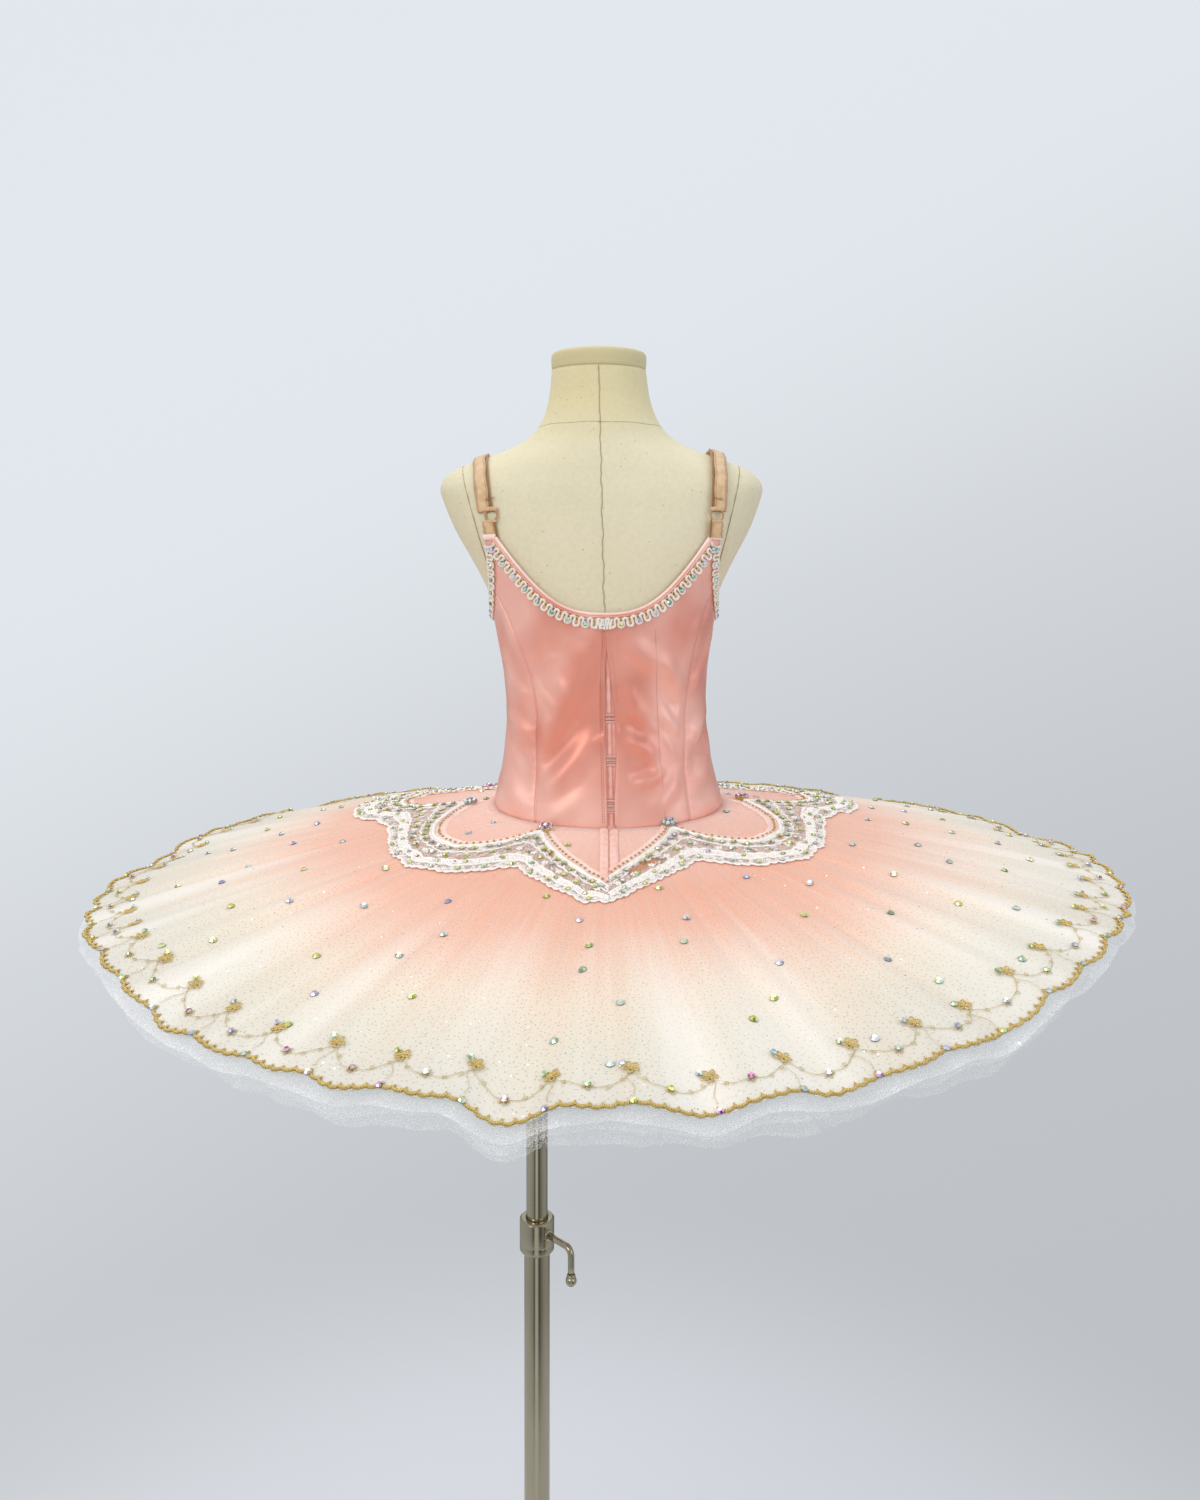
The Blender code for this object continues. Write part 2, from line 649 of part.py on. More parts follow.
def edge_stations(edge_z, psi_from, psi_to, count, inset):
    """Stations along an edge z = edge_z(psi), each with the in-cloth direction square to the edge."""
    radius_for_degrees = math.radians(1.0)
    stations = []
    for i in range(count + 1):
        psi = psi_from + (psi_to - psi_from) * i / count
        z = edge_z(psi)
        step = 0.4
        ahead, behind = form_surface(psi + step, edge_z(psi + step)), form_surface(psi - step, edge_z(psi - step))
        along = (ahead - behind).normalized()
        inward = along.cross(form_normal(psi, z)).normalized()
        if inward.z > 0:
            inward = -inward
        around = form_surface(psi + step, z) - form_surface(psi - step, z)
        metres_a_degree = around.length / (2 * step)
        psi_step = inward.dot(around.normalized()) / metres_a_degree
        stations.append((psi + psi_step * inset, z + inward.z * inset, psi_step, inward.z))
    return stations


def build_trims(neck_tops):
    """Braid and piping; neck_tops are the necklines' top edges."""
    lift = BODICE_GAP + WALL + SEAM
    corner = NECK_BACK_HALF - 2.0
    stations = edge_stations(neckline_z, -corner, corner, 26, 0.0022)
    band("neck_braid_back", stations, "braid", BRAID_WIDTH, BRAID_THICK, lift + 0.0005)
    front = NECK_FRONT_HALF - 3.0
    stations = edge_stations(neckline_z, 180.0 - front, 180.0 + front, 20, 0.0022)
    band("neck_braid_front", stations, "braid", BRAID_WIDTH, BRAID_THICK, lift + 0.0005)
    reach = ARMHOLE_HALF - 3.2
    for word, side in (("left", 1.0), ("right", -1.0)):
        stations = edge_stations(armhole_z, side * (ARMHOLE_CENTRE - reach),
                                 side * (ARMHOLE_CENTRE + reach), 22, 0.0012)
        band("armhole_braid_" + word, stations, "braid", BRAID_WIDTH * 0.8, BRAID_THICK, lift + 0.0010)

    pipe_lift = BODICE_GAP + WALL / 2
    rise = PIPING_RADIUS + 2 * SEAM
    for name, top_row in (("neck_piping_back", neck_tops[0]), ("neck_piping_front", neck_tops[1])):
        inner = [(psi, z) for psi, z in top_row if z < STRAP_CORNER_Z - 0.004]
        edge = [form_point(psi, z, pipe_lift) for psi, z in inner]
        points = []
        for i, (psi, z) in enumerate(inner):
            along = edge[min(i + 1, len(edge) - 1)] - edge[max(i - 1, 0)]
            above = form_normal(psi, z).cross(along).normalized()
            points.append(edge[i] + above * rise * (1.0 if above.z > 0 else -1.0))
        rod(name, points, PIPING_RADIUS, "piping", resolution=1)


# ---------------------------------------------------------------- straps
def shoulder_point(x_from_axis, angle, lift):
    """On the form, in a plane across the shoulder: angle 0 is straight back, 90 up, 180 forward."""
    centre_z = 1.270
    direction = Vector((0.0, math.cos(math.radians(angle)), math.sin(math.radians(angle))))

    def inside(distance):
        y, z = direction.y * distance, centre_z + direction.z * distance
        if z > 1.36:
            return False
        half_width, back, front, centre_y, square = interpolate(FORM_SECTIONS, z)
        lean = axis_x(z) - TORSO_X
        depth = back if y >= centre_y else front
        return (abs((abs(x_from_axis) - lean) / half_width) ** square
                + abs((y - centre_y) / depth) ** square) < 1.0

    low, high = 0.0, 0.12
    for _ in range(30):
        middle = (low + high) / 2
        if inside(middle):
            low = middle
        else:
            high = middle
    distance = low + lift
    return Vector((TORSO_X + x_from_axis, direction.y * distance, centre_z + direction.z * distance))


def strap_x(line, angle):
    """The strap's middle: furthest out on the shoulder, closer in at both ends."""
    end = line.back if angle < 90.0 else line.front
    return end + (line.top - end) * math.sin(math.radians(angle))


def ribbon(name, angles, line, side, finish_name, lift):
    rings = []
    for angle in angles:
        middle = strap_x(line, angle)
        ring = []
        for offset, extra in ((-1, 0.0), (1, 0.0), (1, STRAP_THICK), (-1, STRAP_THICK)):
            ring.append(shoulder_point(side * (middle + offset * STRAP_WIDTH / 2), angle, lift + extra))
        rings.append(ring)
    loft(name, rings, finish_name)


def angle_at_height(x_from_axis, z, front=False):
    """The shoulder angle at which the form's surface reaches a height."""
    low, high = (90.0, 185.0) if front else (-10.0, 90.0)
    for _ in range(30):
        middle = (low + high) / 2
        above = shoulder_point(x_from_axis, middle, 0.0).z > z
        if above == front:
            low = middle
        else:
            high = middle
    return (low + high) / 2


def build_straps():
    for word, side in (("left", 1.0), ("right", -1.0)):
        line = STRAP_LINES[word]
        ring_top = RING_Z + RING_RADIUS + RING_WIRE + SEAM
        ring_bottom = RING_Z - RING_RADIUS - RING_WIRE - SEAM
        back_angle = angle_at_height(side * line.back, ring_top)
        front_angle = angle_at_height(side * line.front, STRAP_CORNER_Z + SEAM, front=True)
        steps = 16
        angles = [back_angle + (front_angle - back_angle) * i / steps for i in range(steps + 1)]
        ribbon("strap_" + word, angles, line, side, "elastic", 0.0009)

        tab_top = angle_at_height(side * line.back, ring_bottom)
        tab_low = angle_at_height(side * line.back, STRAP_CORNER_Z + 0.0010)
        angles = [tab_low + (tab_top - tab_low) * i / 2 for i in range(3)]
        ribbon("strap_tab_" + word, angles, line, side, "elastic", 0.0009)

        centre_angle = angle_at_height(side * line.back, RING_Z)
        centre = shoulder_point(side * line.back, centre_angle, 0.0009 + STRAP_THICK / 2)
        above = shoulder_point(side * line.back, centre_angle + 4.0, 0.0009 + STRAP_THICK / 2)
        outer = shoulder_point(side * (line.back + 0.004), centre_angle, 0.0009 + STRAP_THICK / 2)
        up = (above - centre).normalized()
        normal = up.cross(outer - centre).normalized()
        across = normal.cross(up)
        points = [centre + (up * math.cos(math.tau * i / 14) + across * math.sin(math.tau * i / 14))
                  * RING_RADIUS for i in range(14)]
        rod("strap_ring_" + word, points, RING_WIRE, "ring", resolution=1, cyclic=True)


# ---------------------------------------------------------------- skirt
def rim_z(psi):
    height = interpolate(RIM_HEIGHTS, wrap_degrees(psi))[0]
    for dip in RIM_DIPS:
        away = abs(wrap_degrees(psi - dip.psi)) / dip.half_width
        if away < 1.0:
            height -= dip.depth * math.cos(math.pi * away / 2) ** 2
    return height


def plain_rim_z(psi):
    return interpolate(RIM_HEIGHTS, wrap_degrees(psi))[0]


def scallop_radius(psi):
    phase = (psi - SCALLOP_PHASE) * SCALLOPS / 360.0
    return RIM_RADIUS_CUSP + SCALLOP_DEPTH * abs(math.sin(math.pi * phase))


def skirt_point(psi, share, radius, hip_drop=0.0, rim_drop=0.0):
    """A point of a skirt layer: share 0 at the hips, 1 at the rim."""
    hip = hem_point(psi, hip_z(psi) - hip_drop, SKIRT_INSET)
    s, c = math.sin(math.radians(psi)), math.cos(math.radians(psi))
    base = plain_rim_z(psi)
    rim = Vector((TORSO_X + radius * s, radius * c, base - rim_drop))
    point = hip.lerp(rim, share)
    point.z += SIDE_ARCH * s * s * math.sin(math.pi * share)
    point.z += (rim_z(psi) - base) * share ** 3
    return point


OVERLAY_STATIONS = [(0.00, 1), (0.24, 1), (0.50, 1), (0.74, 2), (0.90, 2), (1.00, 4)]


def build_overlay():
    rows = []
    for share, multiple in OVERLAY_STATIONS:
        count = OVERLAY_HIP_COLUMNS * multiple
        row = []
        for i in range(count):
            psi = SCALLOP_PHASE + 360.0 * i / count
            radius = scallop_radius(psi) if share == 1.0 else RIM_RADIUS_CUSP + SCALLOP_DEPTH / 2
            row.append(skirt_point(psi, share, radius))
        rows.append(row)
    sheet("skirt_overlay", rows, "tulle", NET_WALL, wrap=True)


def overlay_top(psi, distance, lift):
    """A point above the overlay at a distance from the skirt's axis."""
    inner, outer = 0.0, 1.0
    radius = RIM_RADIUS_CUSP + SCALLOP_DEPTH / 2
    for _ in range(24):
        share = (inner + outer) / 2
        point = skirt_point(psi, share, radius)
        if math.hypot(point.x - TORSO_X, point.y) < distance:
            inner = share
        else:
            outer = share
    point = skirt_point(psi, inner, radius)
    return point + Vector((0.0, 0.0, lift))


def build_rim_braid():
    """Gold braid on the overlay's scalloped edge."""
    rings = []
    count = SCALLOPS * 4
    for i in range(count):
        psi = SCALLOP_PHASE + 360.0 * i / count
        edge = skirt_point(psi, 1.0, scallop_radius(psi))
        inside = skirt_point(psi, 1.0 - RIM_BRAID_WIDTH / SKIRT_REACH, scallop_radius(psi))
        outward = (edge - inside).normalized()
        low_in = inside + Vector((0.0, 0.0, 2 * SEAM))
        low_out = edge + outward * 0.0005 + Vector((0.0, 0.0, 2 * SEAM))
        crest = low_in.lerp(low_out, 0.6) + Vector((0.0, 0.0, RIM_BRAID_THICK))
        rings.append([low_in, low_out, crest])
    loft("rim_braid", rings, "gold", closed=True)


def lace_edges(psi):
    """Distances of the lace's inner and outer edges from the skirt's axis."""
    away = abs(psi)
    inner, outer = interpolate(LACE_LOBES, away)
    shift = LACE_SKEW * (0.5 + 0.5 * math.cos(math.pi * min(away / LACE_SKEW_END, 1.0)))
    if psi < 0:
        shift = -shift
    return inner + shift, outer + shift * min(away / 6.0, 1.0)


def lace_columns():
    """Angles of the lace's columns on one side: each hole lies between two close ones."""
    gap = math.degrees(SEAM / 2 / 0.19)
    spacing = 180.0 / LACE_HOLES
    angles = []
    for k in range(LACE_HOLES):
        middle = spacing * (k + 0.5)
        angles += [max(spacing * k, gap), middle - LACE_HOLE_HALF, middle + LACE_HOLE_HALF]
    return angles + [180.0 - gap]


def pierced_sheet(name, low, high, holes, finish_name):
    """A closed wall between two grids of points, cut through at the cells (column, row) in holes."""
    bm = bmesh.new()
    under = [[bm.verts.new(p) for p in column] for column in low]
    over = [[bm.verts.new(p) for p in column] for column in high]
    cells = {(i, j) for i in range(len(low) - 1) for j in range(len(low[0]) - 1)} - holes
    for i, j in cells:
        corners = ((i, j), (i + 1, j), (i + 1, j + 1), (i, j + 1))
        bm.faces.new([under[a][b] for a, b in corners])
        bm.faces.new([over[a][b] for a, b in reversed(corners)])
        beside = ((i, j - 1), (i + 1, j), (i, j + 1), (i - 1, j))
        for n, neighbour in enumerate(beside):
            if neighbour not in cells:
                (a, b), (c, d) = corners[n], corners[(n + 1) % 4]
                bm.faces.new((under[a][b], under[c][d], over[c][d], over[a][b]))
    bmesh.ops.recalc_face_normals(bm, faces=bm.faces)
    mesh = bpy.data.meshes.new(name)
    bm.to_mesh(mesh)
    bm.free()
    return add_object(name, mesh, finish_name)


def build_lace():
    """Lobed lace round the hips, in two halves that meet at the centre back and front."""
    holes = {(3 * k + 1, 1) for k in range(LACE_HOLES)}
    halves = []
    for word, side in (("left", 1.0), ("right", -1.0)):
        low, high = [], []
        for psi in lace_columns():
            inner, outer = lace_edges(side * psi)
            distances = [inner + (outer - inner) * share for share in LACE_SHARES]
            low.append([overlay_top(side * psi, distance, LACE_LIFT) for distance in distances])
            high.append([overlay_top(side * psi, distance, LACE_LIFT + LACE_THICK) for distance in distances])
        halves.append(pierced_sheet("lace_" + word, low, high, holes, "lace"))

    bm = bmesh.new()
    middle = overlay_top(LACE_GAP[0].psi, LACE_GAP[0].distance, 0.0)
    levels = []
    for z in (middle.z - 0.015, middle.z + 0.015):
        levels.append([bm.verts.new((TORSO_X + distance * math.sin(math.radians(psi)),
                                     distance * math.cos(math.radians(psi)), z)) for psi, distance in LACE_GAP])
    low, high = levels
    bm.faces.new(low)
    bm.faces.new(high[::-1])
    for i in range(len(low)):
        j = (i + 1) % len(low)
        bm.faces.new((low[i], low[j], high[j], high[i]))
    bmesh.ops.recalc_face_normals(bm, faces=bm.faces)
    mesh = bpy.data.meshes.new("lace_gap")
    bm.to_mesh(mesh)
    bm.free()
    cutter = bpy.data.objects.new("lace_gap", mesh)
    cutter.hide_render = True
    cutter.display_type = "WIRE"
    bpy.data.collections["cutters"].objects.link(cutter)
    cut = halves[1].modifiers.new("gap", "BOOLEAN")
    cut.operation = "DIFFERENCE"
    cut.object = cutter


def build_plackets():
    """Two narrow strips that bind the skirt's centre-back opening, from the hem to the lace."""
    for word, side, end in (("left", 1.0, PLACKET_TO_LEFT), ("right", -1.0, PLACKET_TO_RIGHT)):
        rings = []
        for i in range(5):
            distance = PLACKET_FROM + (end - PLACKET_FROM) * i / 4
            near = math.degrees(PLACKET_EDGE / distance) * side
            far = math.degrees((PLACKET_EDGE + PLACKET_WIDTH) / distance) * side
            low_near = overlay_top(near, distance, LACE_LIFT)
            low_far = overlay_top(far, distance, LACE_LIFT)
            up = Vector((0.0, 0.0, LACE_THICK))
            rings.append([low_near, low_far, low_far + up, low_near + up])
        loft("skirt_placket_" + word, rings, "piping")


def build_nets():
    for net in NETS:
        hip_columns = net.waves * 2
        rows = []
        for share, multiple in ((0.0, 1), (0.62, 2), (1.0, 2)):
            count = hip_columns * multiple
            row = []
            for i in range(count):
                psi = 360.0 * i / count
                point = skirt_point(psi, share, net.radius, net.hip_drop, net.rim_drop)
                wave = math.cos(math.radians(psi) * net.waves + net.phase)
                point.z += net.wave_height * wave * share
                row.append(point)
            rows.append(row)
        sheet(net.name, rows, "net", NET_WALL, wrap=True)


# ---------------------------------------------------------------- brief
def leg_z(psi):
    """The brief's lower edge: low at the centres, high at the sides."""
    across = abs(math.sin(math.radians(psi)))
    share = max(0.0, (across - 0.30) / 0.70)
    return BRIEF_LEG_CENTRE_Z + (BRIEF_LEG_SIDE_Z - BRIEF_LEG_CENTRE_Z) * math.sin(share * math.pi / 2)


def build_brief():
    seam_half = math.degrees(SEAM / 2 / 0.1)
    for name, low, high in (("brief_back", -90.0, 90.0), ("brief_front", 90.0, 270.0)):
        rows = []
        columns = 16
        for j in range(4):
            row = []
            for i in range(columns + 1):
                psi = low + seam_half + (high - low - 2 * seam_half) * i / columns
                top = hip_z(psi) - BRIEF_TOP_DROP
                z = leg_z(psi) + (top - leg_z(psi)) * j / 3
                row.append(hem_point(psi, z, BRIEF_GAP))
            rows.append(row)
        sheet(name, rows, "cotton", WALL, facing_out=False, grow_out=True)

    bottom = FORM_SECTIONS[0]
    wide = FORM_SECTIONS[1]
    under_z = FORM_BOTTOM_Z - BRIEF_GAP
    top_z = BRIEF_LEG_CENTRE_Z - SEAM
    route = [(wide.back + BRIEF_GAP, top_z), (wide.back + BRIEF_GAP - 0.0006, 0.9375),
             (bottom.back - 0.001, under_z), (0.050, under_z), (0.0, under_z), (-0.050, under_z),
             (-bottom.front + 0.001, under_z), (-wide.front - BRIEF_GAP + 0.0006, 0.9375),
             (-wide.front - BRIEF_GAP, top_z)]
    centre = axis_x(FORM_BOTTOM_Z)
    rows = []
    for y, z in route:
        rows.append([Vector((centre + GUSSET_HALF_WIDTH * i, y, z)) for i in (-1, 0, 1)])
    sheet("brief_gusset", rows, "cotton", WALL, facing_out=True, grow_out=True)


# ---------------------------------------------------------------- stand
def build_stand():
    boss_low = BASE_HUB_THICK
    profile = [
        (OUTER_TUBE_RADIUS + SEAM, BASE_BOSS_TOP_Z), (BASE_BOSS_RADIUS - 0.002, BASE_BOSS_TOP_Z),
        (BASE_BOSS_RADIUS, BASE_BOSS_TOP_Z - 0.002), (BASE_BOSS_RADIUS, boss_low + 0.004),
        (BASE_BOSS_RADIUS + 0.004, boss_low), (BASE_HUB_RADIUS, boss_low - 0.001),
        (BASE_RADIUS - 0.004, BASE_EDGE_THICK), (BASE_RADIUS, BASE_EDGE_THICK - 0.003),
        (BASE_RADIUS, 0.0015), (BASE_RADIUS - 0.0015, 0.0), (0.0, 0.0),
    ]
    floor_of_bore = 0.004
    profile = [(0.0, floor_of_bore), (OUTER_TUBE_RADIUS + SEAM, floor_of_bore)] + profile
    turned("stand_base", profile, "iron", 40)

    bore = INNER_TUBE_RADIUS + SEAM
    tube_top = COLLAR_TOP_Z - COLLAR_LIP - SEAM
    tube_bottom = floor_of_bore + SEAM
    profile = [(bore, tube_top), (OUTER_TUBE_RADIUS, tube_top), (OUTER_TUBE_RADIUS, tube_bottom),
               (bore, tube_bottom)]
    turned("stand_tube", profile, "chrome", 24, closed=True)

    outer_bore = OUTER_TUBE_RADIUS + SEAM
    lip = COLLAR_TOP_Z - COLLAR_LIP
    profile = [
        (bore, COLLAR_TOP_Z), (COLLAR_RADIUS - COLLAR_CHAMFER, COLLAR_TOP_Z),
        (COLLAR_RADIUS, COLLAR_TOP_Z - COLLAR_CHAMFER), (COLLAR_RADIUS, COLLAR_BOTTOM_Z + COLLAR_CHAMFER),
        (COLLAR_RADIUS - COLLAR_CHAMFER, COLLAR_BOTTOM_Z), (outer_bore, COLLAR_BOTTOM_Z),
        (outer_bore, lip), (bore, lip),
    ]
    turned("clamp_collar", profile, "chrome", 24, closed=True)

    mast_top = FORM_BOTTOM_Z - SEAM - SOCKET_FLANGE_THICK - SEAM
    hollow = INNER_TUBE_RADIUS - TUBE_WALL
    profile = [(hollow, mast_top), (INNER_TUBE_RADIUS, mast_top),
               (INNER_TUBE_RADIUS, INNER_TUBE_BOTTOM_Z), (hollow, INNER_TUBE_BOTTOM_Z)]
    turned("mast_tube", profile, "chrome", 24, closed=True)

    flange_top = FORM_BOTTOM_Z - SEAM
    flange_low = flange_top - SOCKET_FLANGE_THICK
    profile = [
        (0.0, flange_top), (SOCKET_FLANGE_RADIUS, flange_top), (SOCKET_FLANGE_RADIUS, flange_low),
        (SOCKET_RADIUS, flange_low), (SOCKET_RADIUS, flange_top - SOCKET_DEPTH),
        (bore, flange_top - SOCKET_DEPTH), (bore, flange_low), (0.0, flange_low),
    ]
    turned("form_socket", profile, "chrome", 24)


def build_lever():
    """Bent clamp screw with a ball end, radial to the collar."""
    angle = math.radians(LEVER_AZIMUTH)
    outward = Vector((math.cos(angle), math.sin(angle), 0.0))
    start = COLLAR_RADIUS + SEAM
    bend = start + LEVER_REACH
    corner = 0.007
    down = Vector((0.0, 0.0, -1.0))
    origin = Vector((0.0, 0.0, LEVER_Z))
    points = [origin + outward * start, origin + outward * (bend - corner)]
    for i in range(1, 5):
        turn = math.radians(90.0) * i / 4
        points.append(origin + outward * (bend - corner + corner * math.sin(turn))
                      + down * corner * (1 - math.cos(turn)))
    tip = origin + outward * bend + down * LEVER_DROP
    points.append(tip)
    stem = rod("clamp_lever_stem", points, LEVER_ROD_RADIUS, "chrome", resolution=2)
    depsgraph = bpy.context.evaluated_depsgraph_get()
    mesh = bpy.data.meshes.new_from_object(stem.evaluated_get(depsgraph))
    bpy.data.objects.remove(stem, do_unlink=True)
    bm = bmesh.new()
    bm.from_mesh(mesh)
    bmesh.ops.remove_doubles(bm, verts=bm.verts, dist=0.00001)
    bm.to_mesh(mesh)
    bm.free()
    mesh.materials.clear()
    lever = add_object("clamp_lever", mesh, "chrome")

    bm = bmesh.new()
    bmesh.ops.create_uvsphere(bm, u_segments=14, v_segments=8, radius=LEVER_BALL_RADIUS)
    ball_mesh = bpy.data.meshes.new("clamp_ball")
    bm.to_mesh(ball_mesh)
    bm.free()
    ball = bpy.data.objects.new("clamp_ball", ball_mesh)
    ball.location = tip + down * LEVER_BALL_RADIUS * 0.6
    ball.hide_render = True
    ball.display_type = "WIRE"
    bpy.data.collections["cutters"].objects.link(ball)
    join = lever.modifiers.new("ball", "BOOLEAN")
    join.operation = "UNION"
    join.object = ball


def main():
    clear_scene()
    make_collection(COLLECTION)
    make_collection("cutters")
    build_form()
    neck_tops = build_bodice()
    build_closure_tape()
    build_trims(neck_tops)
    build_straps()
    build_overlay()
    build_rim_braid()
    build_lace()
    build_plackets()
    build_nets()
    build_brief()
    build_stand()
    build_lever()


main()
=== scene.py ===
import math
from collections import namedtuple

import bpy
import numpy as np
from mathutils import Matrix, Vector


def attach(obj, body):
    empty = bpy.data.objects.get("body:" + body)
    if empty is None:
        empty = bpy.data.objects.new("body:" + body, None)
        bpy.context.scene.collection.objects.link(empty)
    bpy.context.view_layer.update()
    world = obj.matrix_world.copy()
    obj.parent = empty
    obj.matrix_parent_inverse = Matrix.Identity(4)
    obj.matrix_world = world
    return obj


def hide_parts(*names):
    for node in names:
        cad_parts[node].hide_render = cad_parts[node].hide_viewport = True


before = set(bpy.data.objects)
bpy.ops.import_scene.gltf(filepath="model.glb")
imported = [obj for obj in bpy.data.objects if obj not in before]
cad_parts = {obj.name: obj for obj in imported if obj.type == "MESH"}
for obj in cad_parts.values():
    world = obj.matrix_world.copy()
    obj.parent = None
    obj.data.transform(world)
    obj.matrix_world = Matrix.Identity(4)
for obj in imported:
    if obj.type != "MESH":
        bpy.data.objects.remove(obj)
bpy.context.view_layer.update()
rng = np.random.default_rng(11)

# ---------------------------------------------------------------- sizes shared with the CAD, in metres
TORSO_X, LEAN, WAIST_Z = -0.065, 0.0216, 1.12
WALL, BODICE_GAP, BRIEF_GAP = 0.0015, 0.0024, 0.0008
SKIRT_INSET = BRIEF_GAP + WALL + 0.0007
CLOTH = BODICE_GAP + WALL
NECK_BACK_Z, NECK_FRONT_Z, STRAP_CORNER_Z = 1.210, 1.228, 1.277
NECK_BACK_HALF, NECK_BACK_POWER = 53.6, 2.75
NECK_FRONT_HALF, NECK_FRONT_POWER = 48.0, 2.3
ARMHOLE_CENTRE, ARMHOLE_HALF, ARMHOLE_DEPTH = 91.0, 32.5, 0.0675
SIDE_SEAM = 96.0
FRONT_SEAM_HEM, FRONT_SEAM_TOP = 148.0, 121.5
STRAP_WIDTH, STRAP_THICK = 0.0135, 0.0014
StrapLine = namedtuple("StrapLine", "top back front")
STRAP_LINES = {"left": StrapLine(0.1165, 0.1020, 0.0950), "right": StrapLine(0.1030, 0.0975, 0.0950)}
RING_RADIUS, RING_Z = 0.0052, 1.2955
RIM_RADIUS, SCALLOP_DEPTH, SCALLOPS, SCALLOP_PHASE = 0.4470, 0.0055, 56, 4.7
SPACING = 360.0 / SCALLOPS
SIDE_ARCH = 0.006

# Tables are in millimetres and degrees; MM turns them into metres.
MM = 1000.0
# height, half width, depth behind, depth in front, the centre's y, squareness
FORM_SECTIONS = np.array([
    (935, 98.5, 84, 83, 0, 2.2), (943, 103.5, 88, 86.5, 0, 2.2), (985, 105, 89, 86.5, 0, 2.2),
    (1030, 102.6, 86.5, 85, 0, 2.15), (1060, 95.5, 81.5, 83.5, 0, 2.15), (1085, 91.8, 78, 83, 0, 2.15),
    (1115, 89.3, 76.2, 83.5, 0, 2.15), (1150, 91.2, 78.5, 85.5, 0, 2.2),
    (1185, 96.5, 82.5, 88.5, 0, 2.25), (1210, 101, 85, 90, 0, 2.3), (1235, 111.2, 86, 90, 0, 2.35),
    (1260, 124, 85, 87, 0, 2.5), (1285, 137.5, 82.5, 81, 0, 2.6), (1310, 147.5, 77.5, 73, 0, 2.6),
    (1322, 150.8, 74, 68.5, 0, 2.5), (1332, 147.5, 71, 65.5, -1, 2.3), (1342, 133, 68, 63, -2, 2.15),
    (1352, 108, 64, 60, -3, 2.05), (1361, 83.5, 60, 57, -4, 2), (1369, 70.2, 56, 54.5, -5, 2),
    (1380, 59, 52.5, 52, -6, 2), (1395, 51.5, 49, 49.5, -8, 2), (1412, 47.3, 46.5, 47, -10, 2),
    (1435, 44.7, 44.7, 44.7, -10, 2),
]) / [MM, MM, MM, MM, MM, 1]
# height, seam's angle on the left and on the right
PRINCESS_SEAMS = np.array([
    (1015, 41, 46), (1028, 41.5, 46.2), (1065, 43.5, 47.3), (1095, 45, 51), (1130, 45.5, 53),
    (1180, 52.5, 56.8), (1219.6, 61.5, 62), (1234.4, 66, 66),
]) / [MM, 1, 1]
# height, the opening's edges left and right of the centre back
BACK_OPENING = np.array([
    (1015, 2, -5.8), (1040, 2, -6.2), (1090, 2, -8.8), (1120, 2, -8), (1160, 1, -4.8),
    (1188, -1.2, -1.8), (1212, -1.4, -1.7),
]) / MM
# angle, height
HIP_HEIGHTS = np.array([
    (0, 1024.5), (30, 1025.5), (60, 1027.5), (90, 1030.5), (120, 1029), (150, 1024), (180, 1021.5),
]) / [1, MM]
RIM_HEIGHTS = np.array([
    (-180, 962), (-150, 964), (-120, 969), (-95, 977), (-75, 984), (-58, 989), (-45, 980), (-30, 963),
    (-15, 954), (0, 952), (15, 953), (30, 953), (45, 963), (58, 972), (75, 963), (95, 961), (120, 963),
    (150, 961), (180, 962),
]) / [1, MM]
# angle, depth, half width in degrees
RIM_DIPS = np.array([
    (8, 13, 5), (-7.5, 8, 4.5), (-17.9, 4, 5), (22, 3, 5), (-34, 4, 5), (41, 5, 6), (66, 6, 7),
    (-66, 6, 7), (97, 7, 8), (-104, 6, 8), (128, 6, 7), (-137, 8, 8), (157, 8, 7), (-166, 6, 7),
    (178, 5, 5),
]) / [1, MM, 1]
# angle, inner and outer distance from the skirt's axis
LACE_LOBES = np.array([
    (0, 188, 220), (6, 167, 208), (12, 151, 195), (20, 132, 180), (25, 122, 173), (31.5, 110, 186),
    (35, 126, 197), (40, 150, 209), (48, 173, 221.5), (55, 176, 219), (66, 166, 207), (76, 150, 202),
    (84, 137, 210), (89.5, 129, 223), (93, 160, 234), (99, 190, 247), (108, 212, 262), (118, 222, 272),
    (129, 214, 266), (138, 198, 250), (142.5, 190, 240), (150, 200, 248), (162, 220, 268),
    (172, 232, 280), (180, 236, 284),
]) / [1, MM, MM]
LACE_SKEW, LACE_SKEW_END = 0.008, 48.0
LACE_HOLES = 20
Net = namedtuple("Net", "node name radius hip_drop rim_drop waves wave_height phase")
NETS = [
    Net("net_1", "net_glitter", 0.4570, 0.0100, 0.0070, 28, 0.0014, 0.0),
    Net("net_2", "net_stiff_upper", 0.4535, 0.0210, 0.0150, 24, 0.0024, 1.1),
    Net("net_3", "net_stiff_lower", 0.4490, 0.0320, 0.0235, 24, 0.0028, 2.3),
]


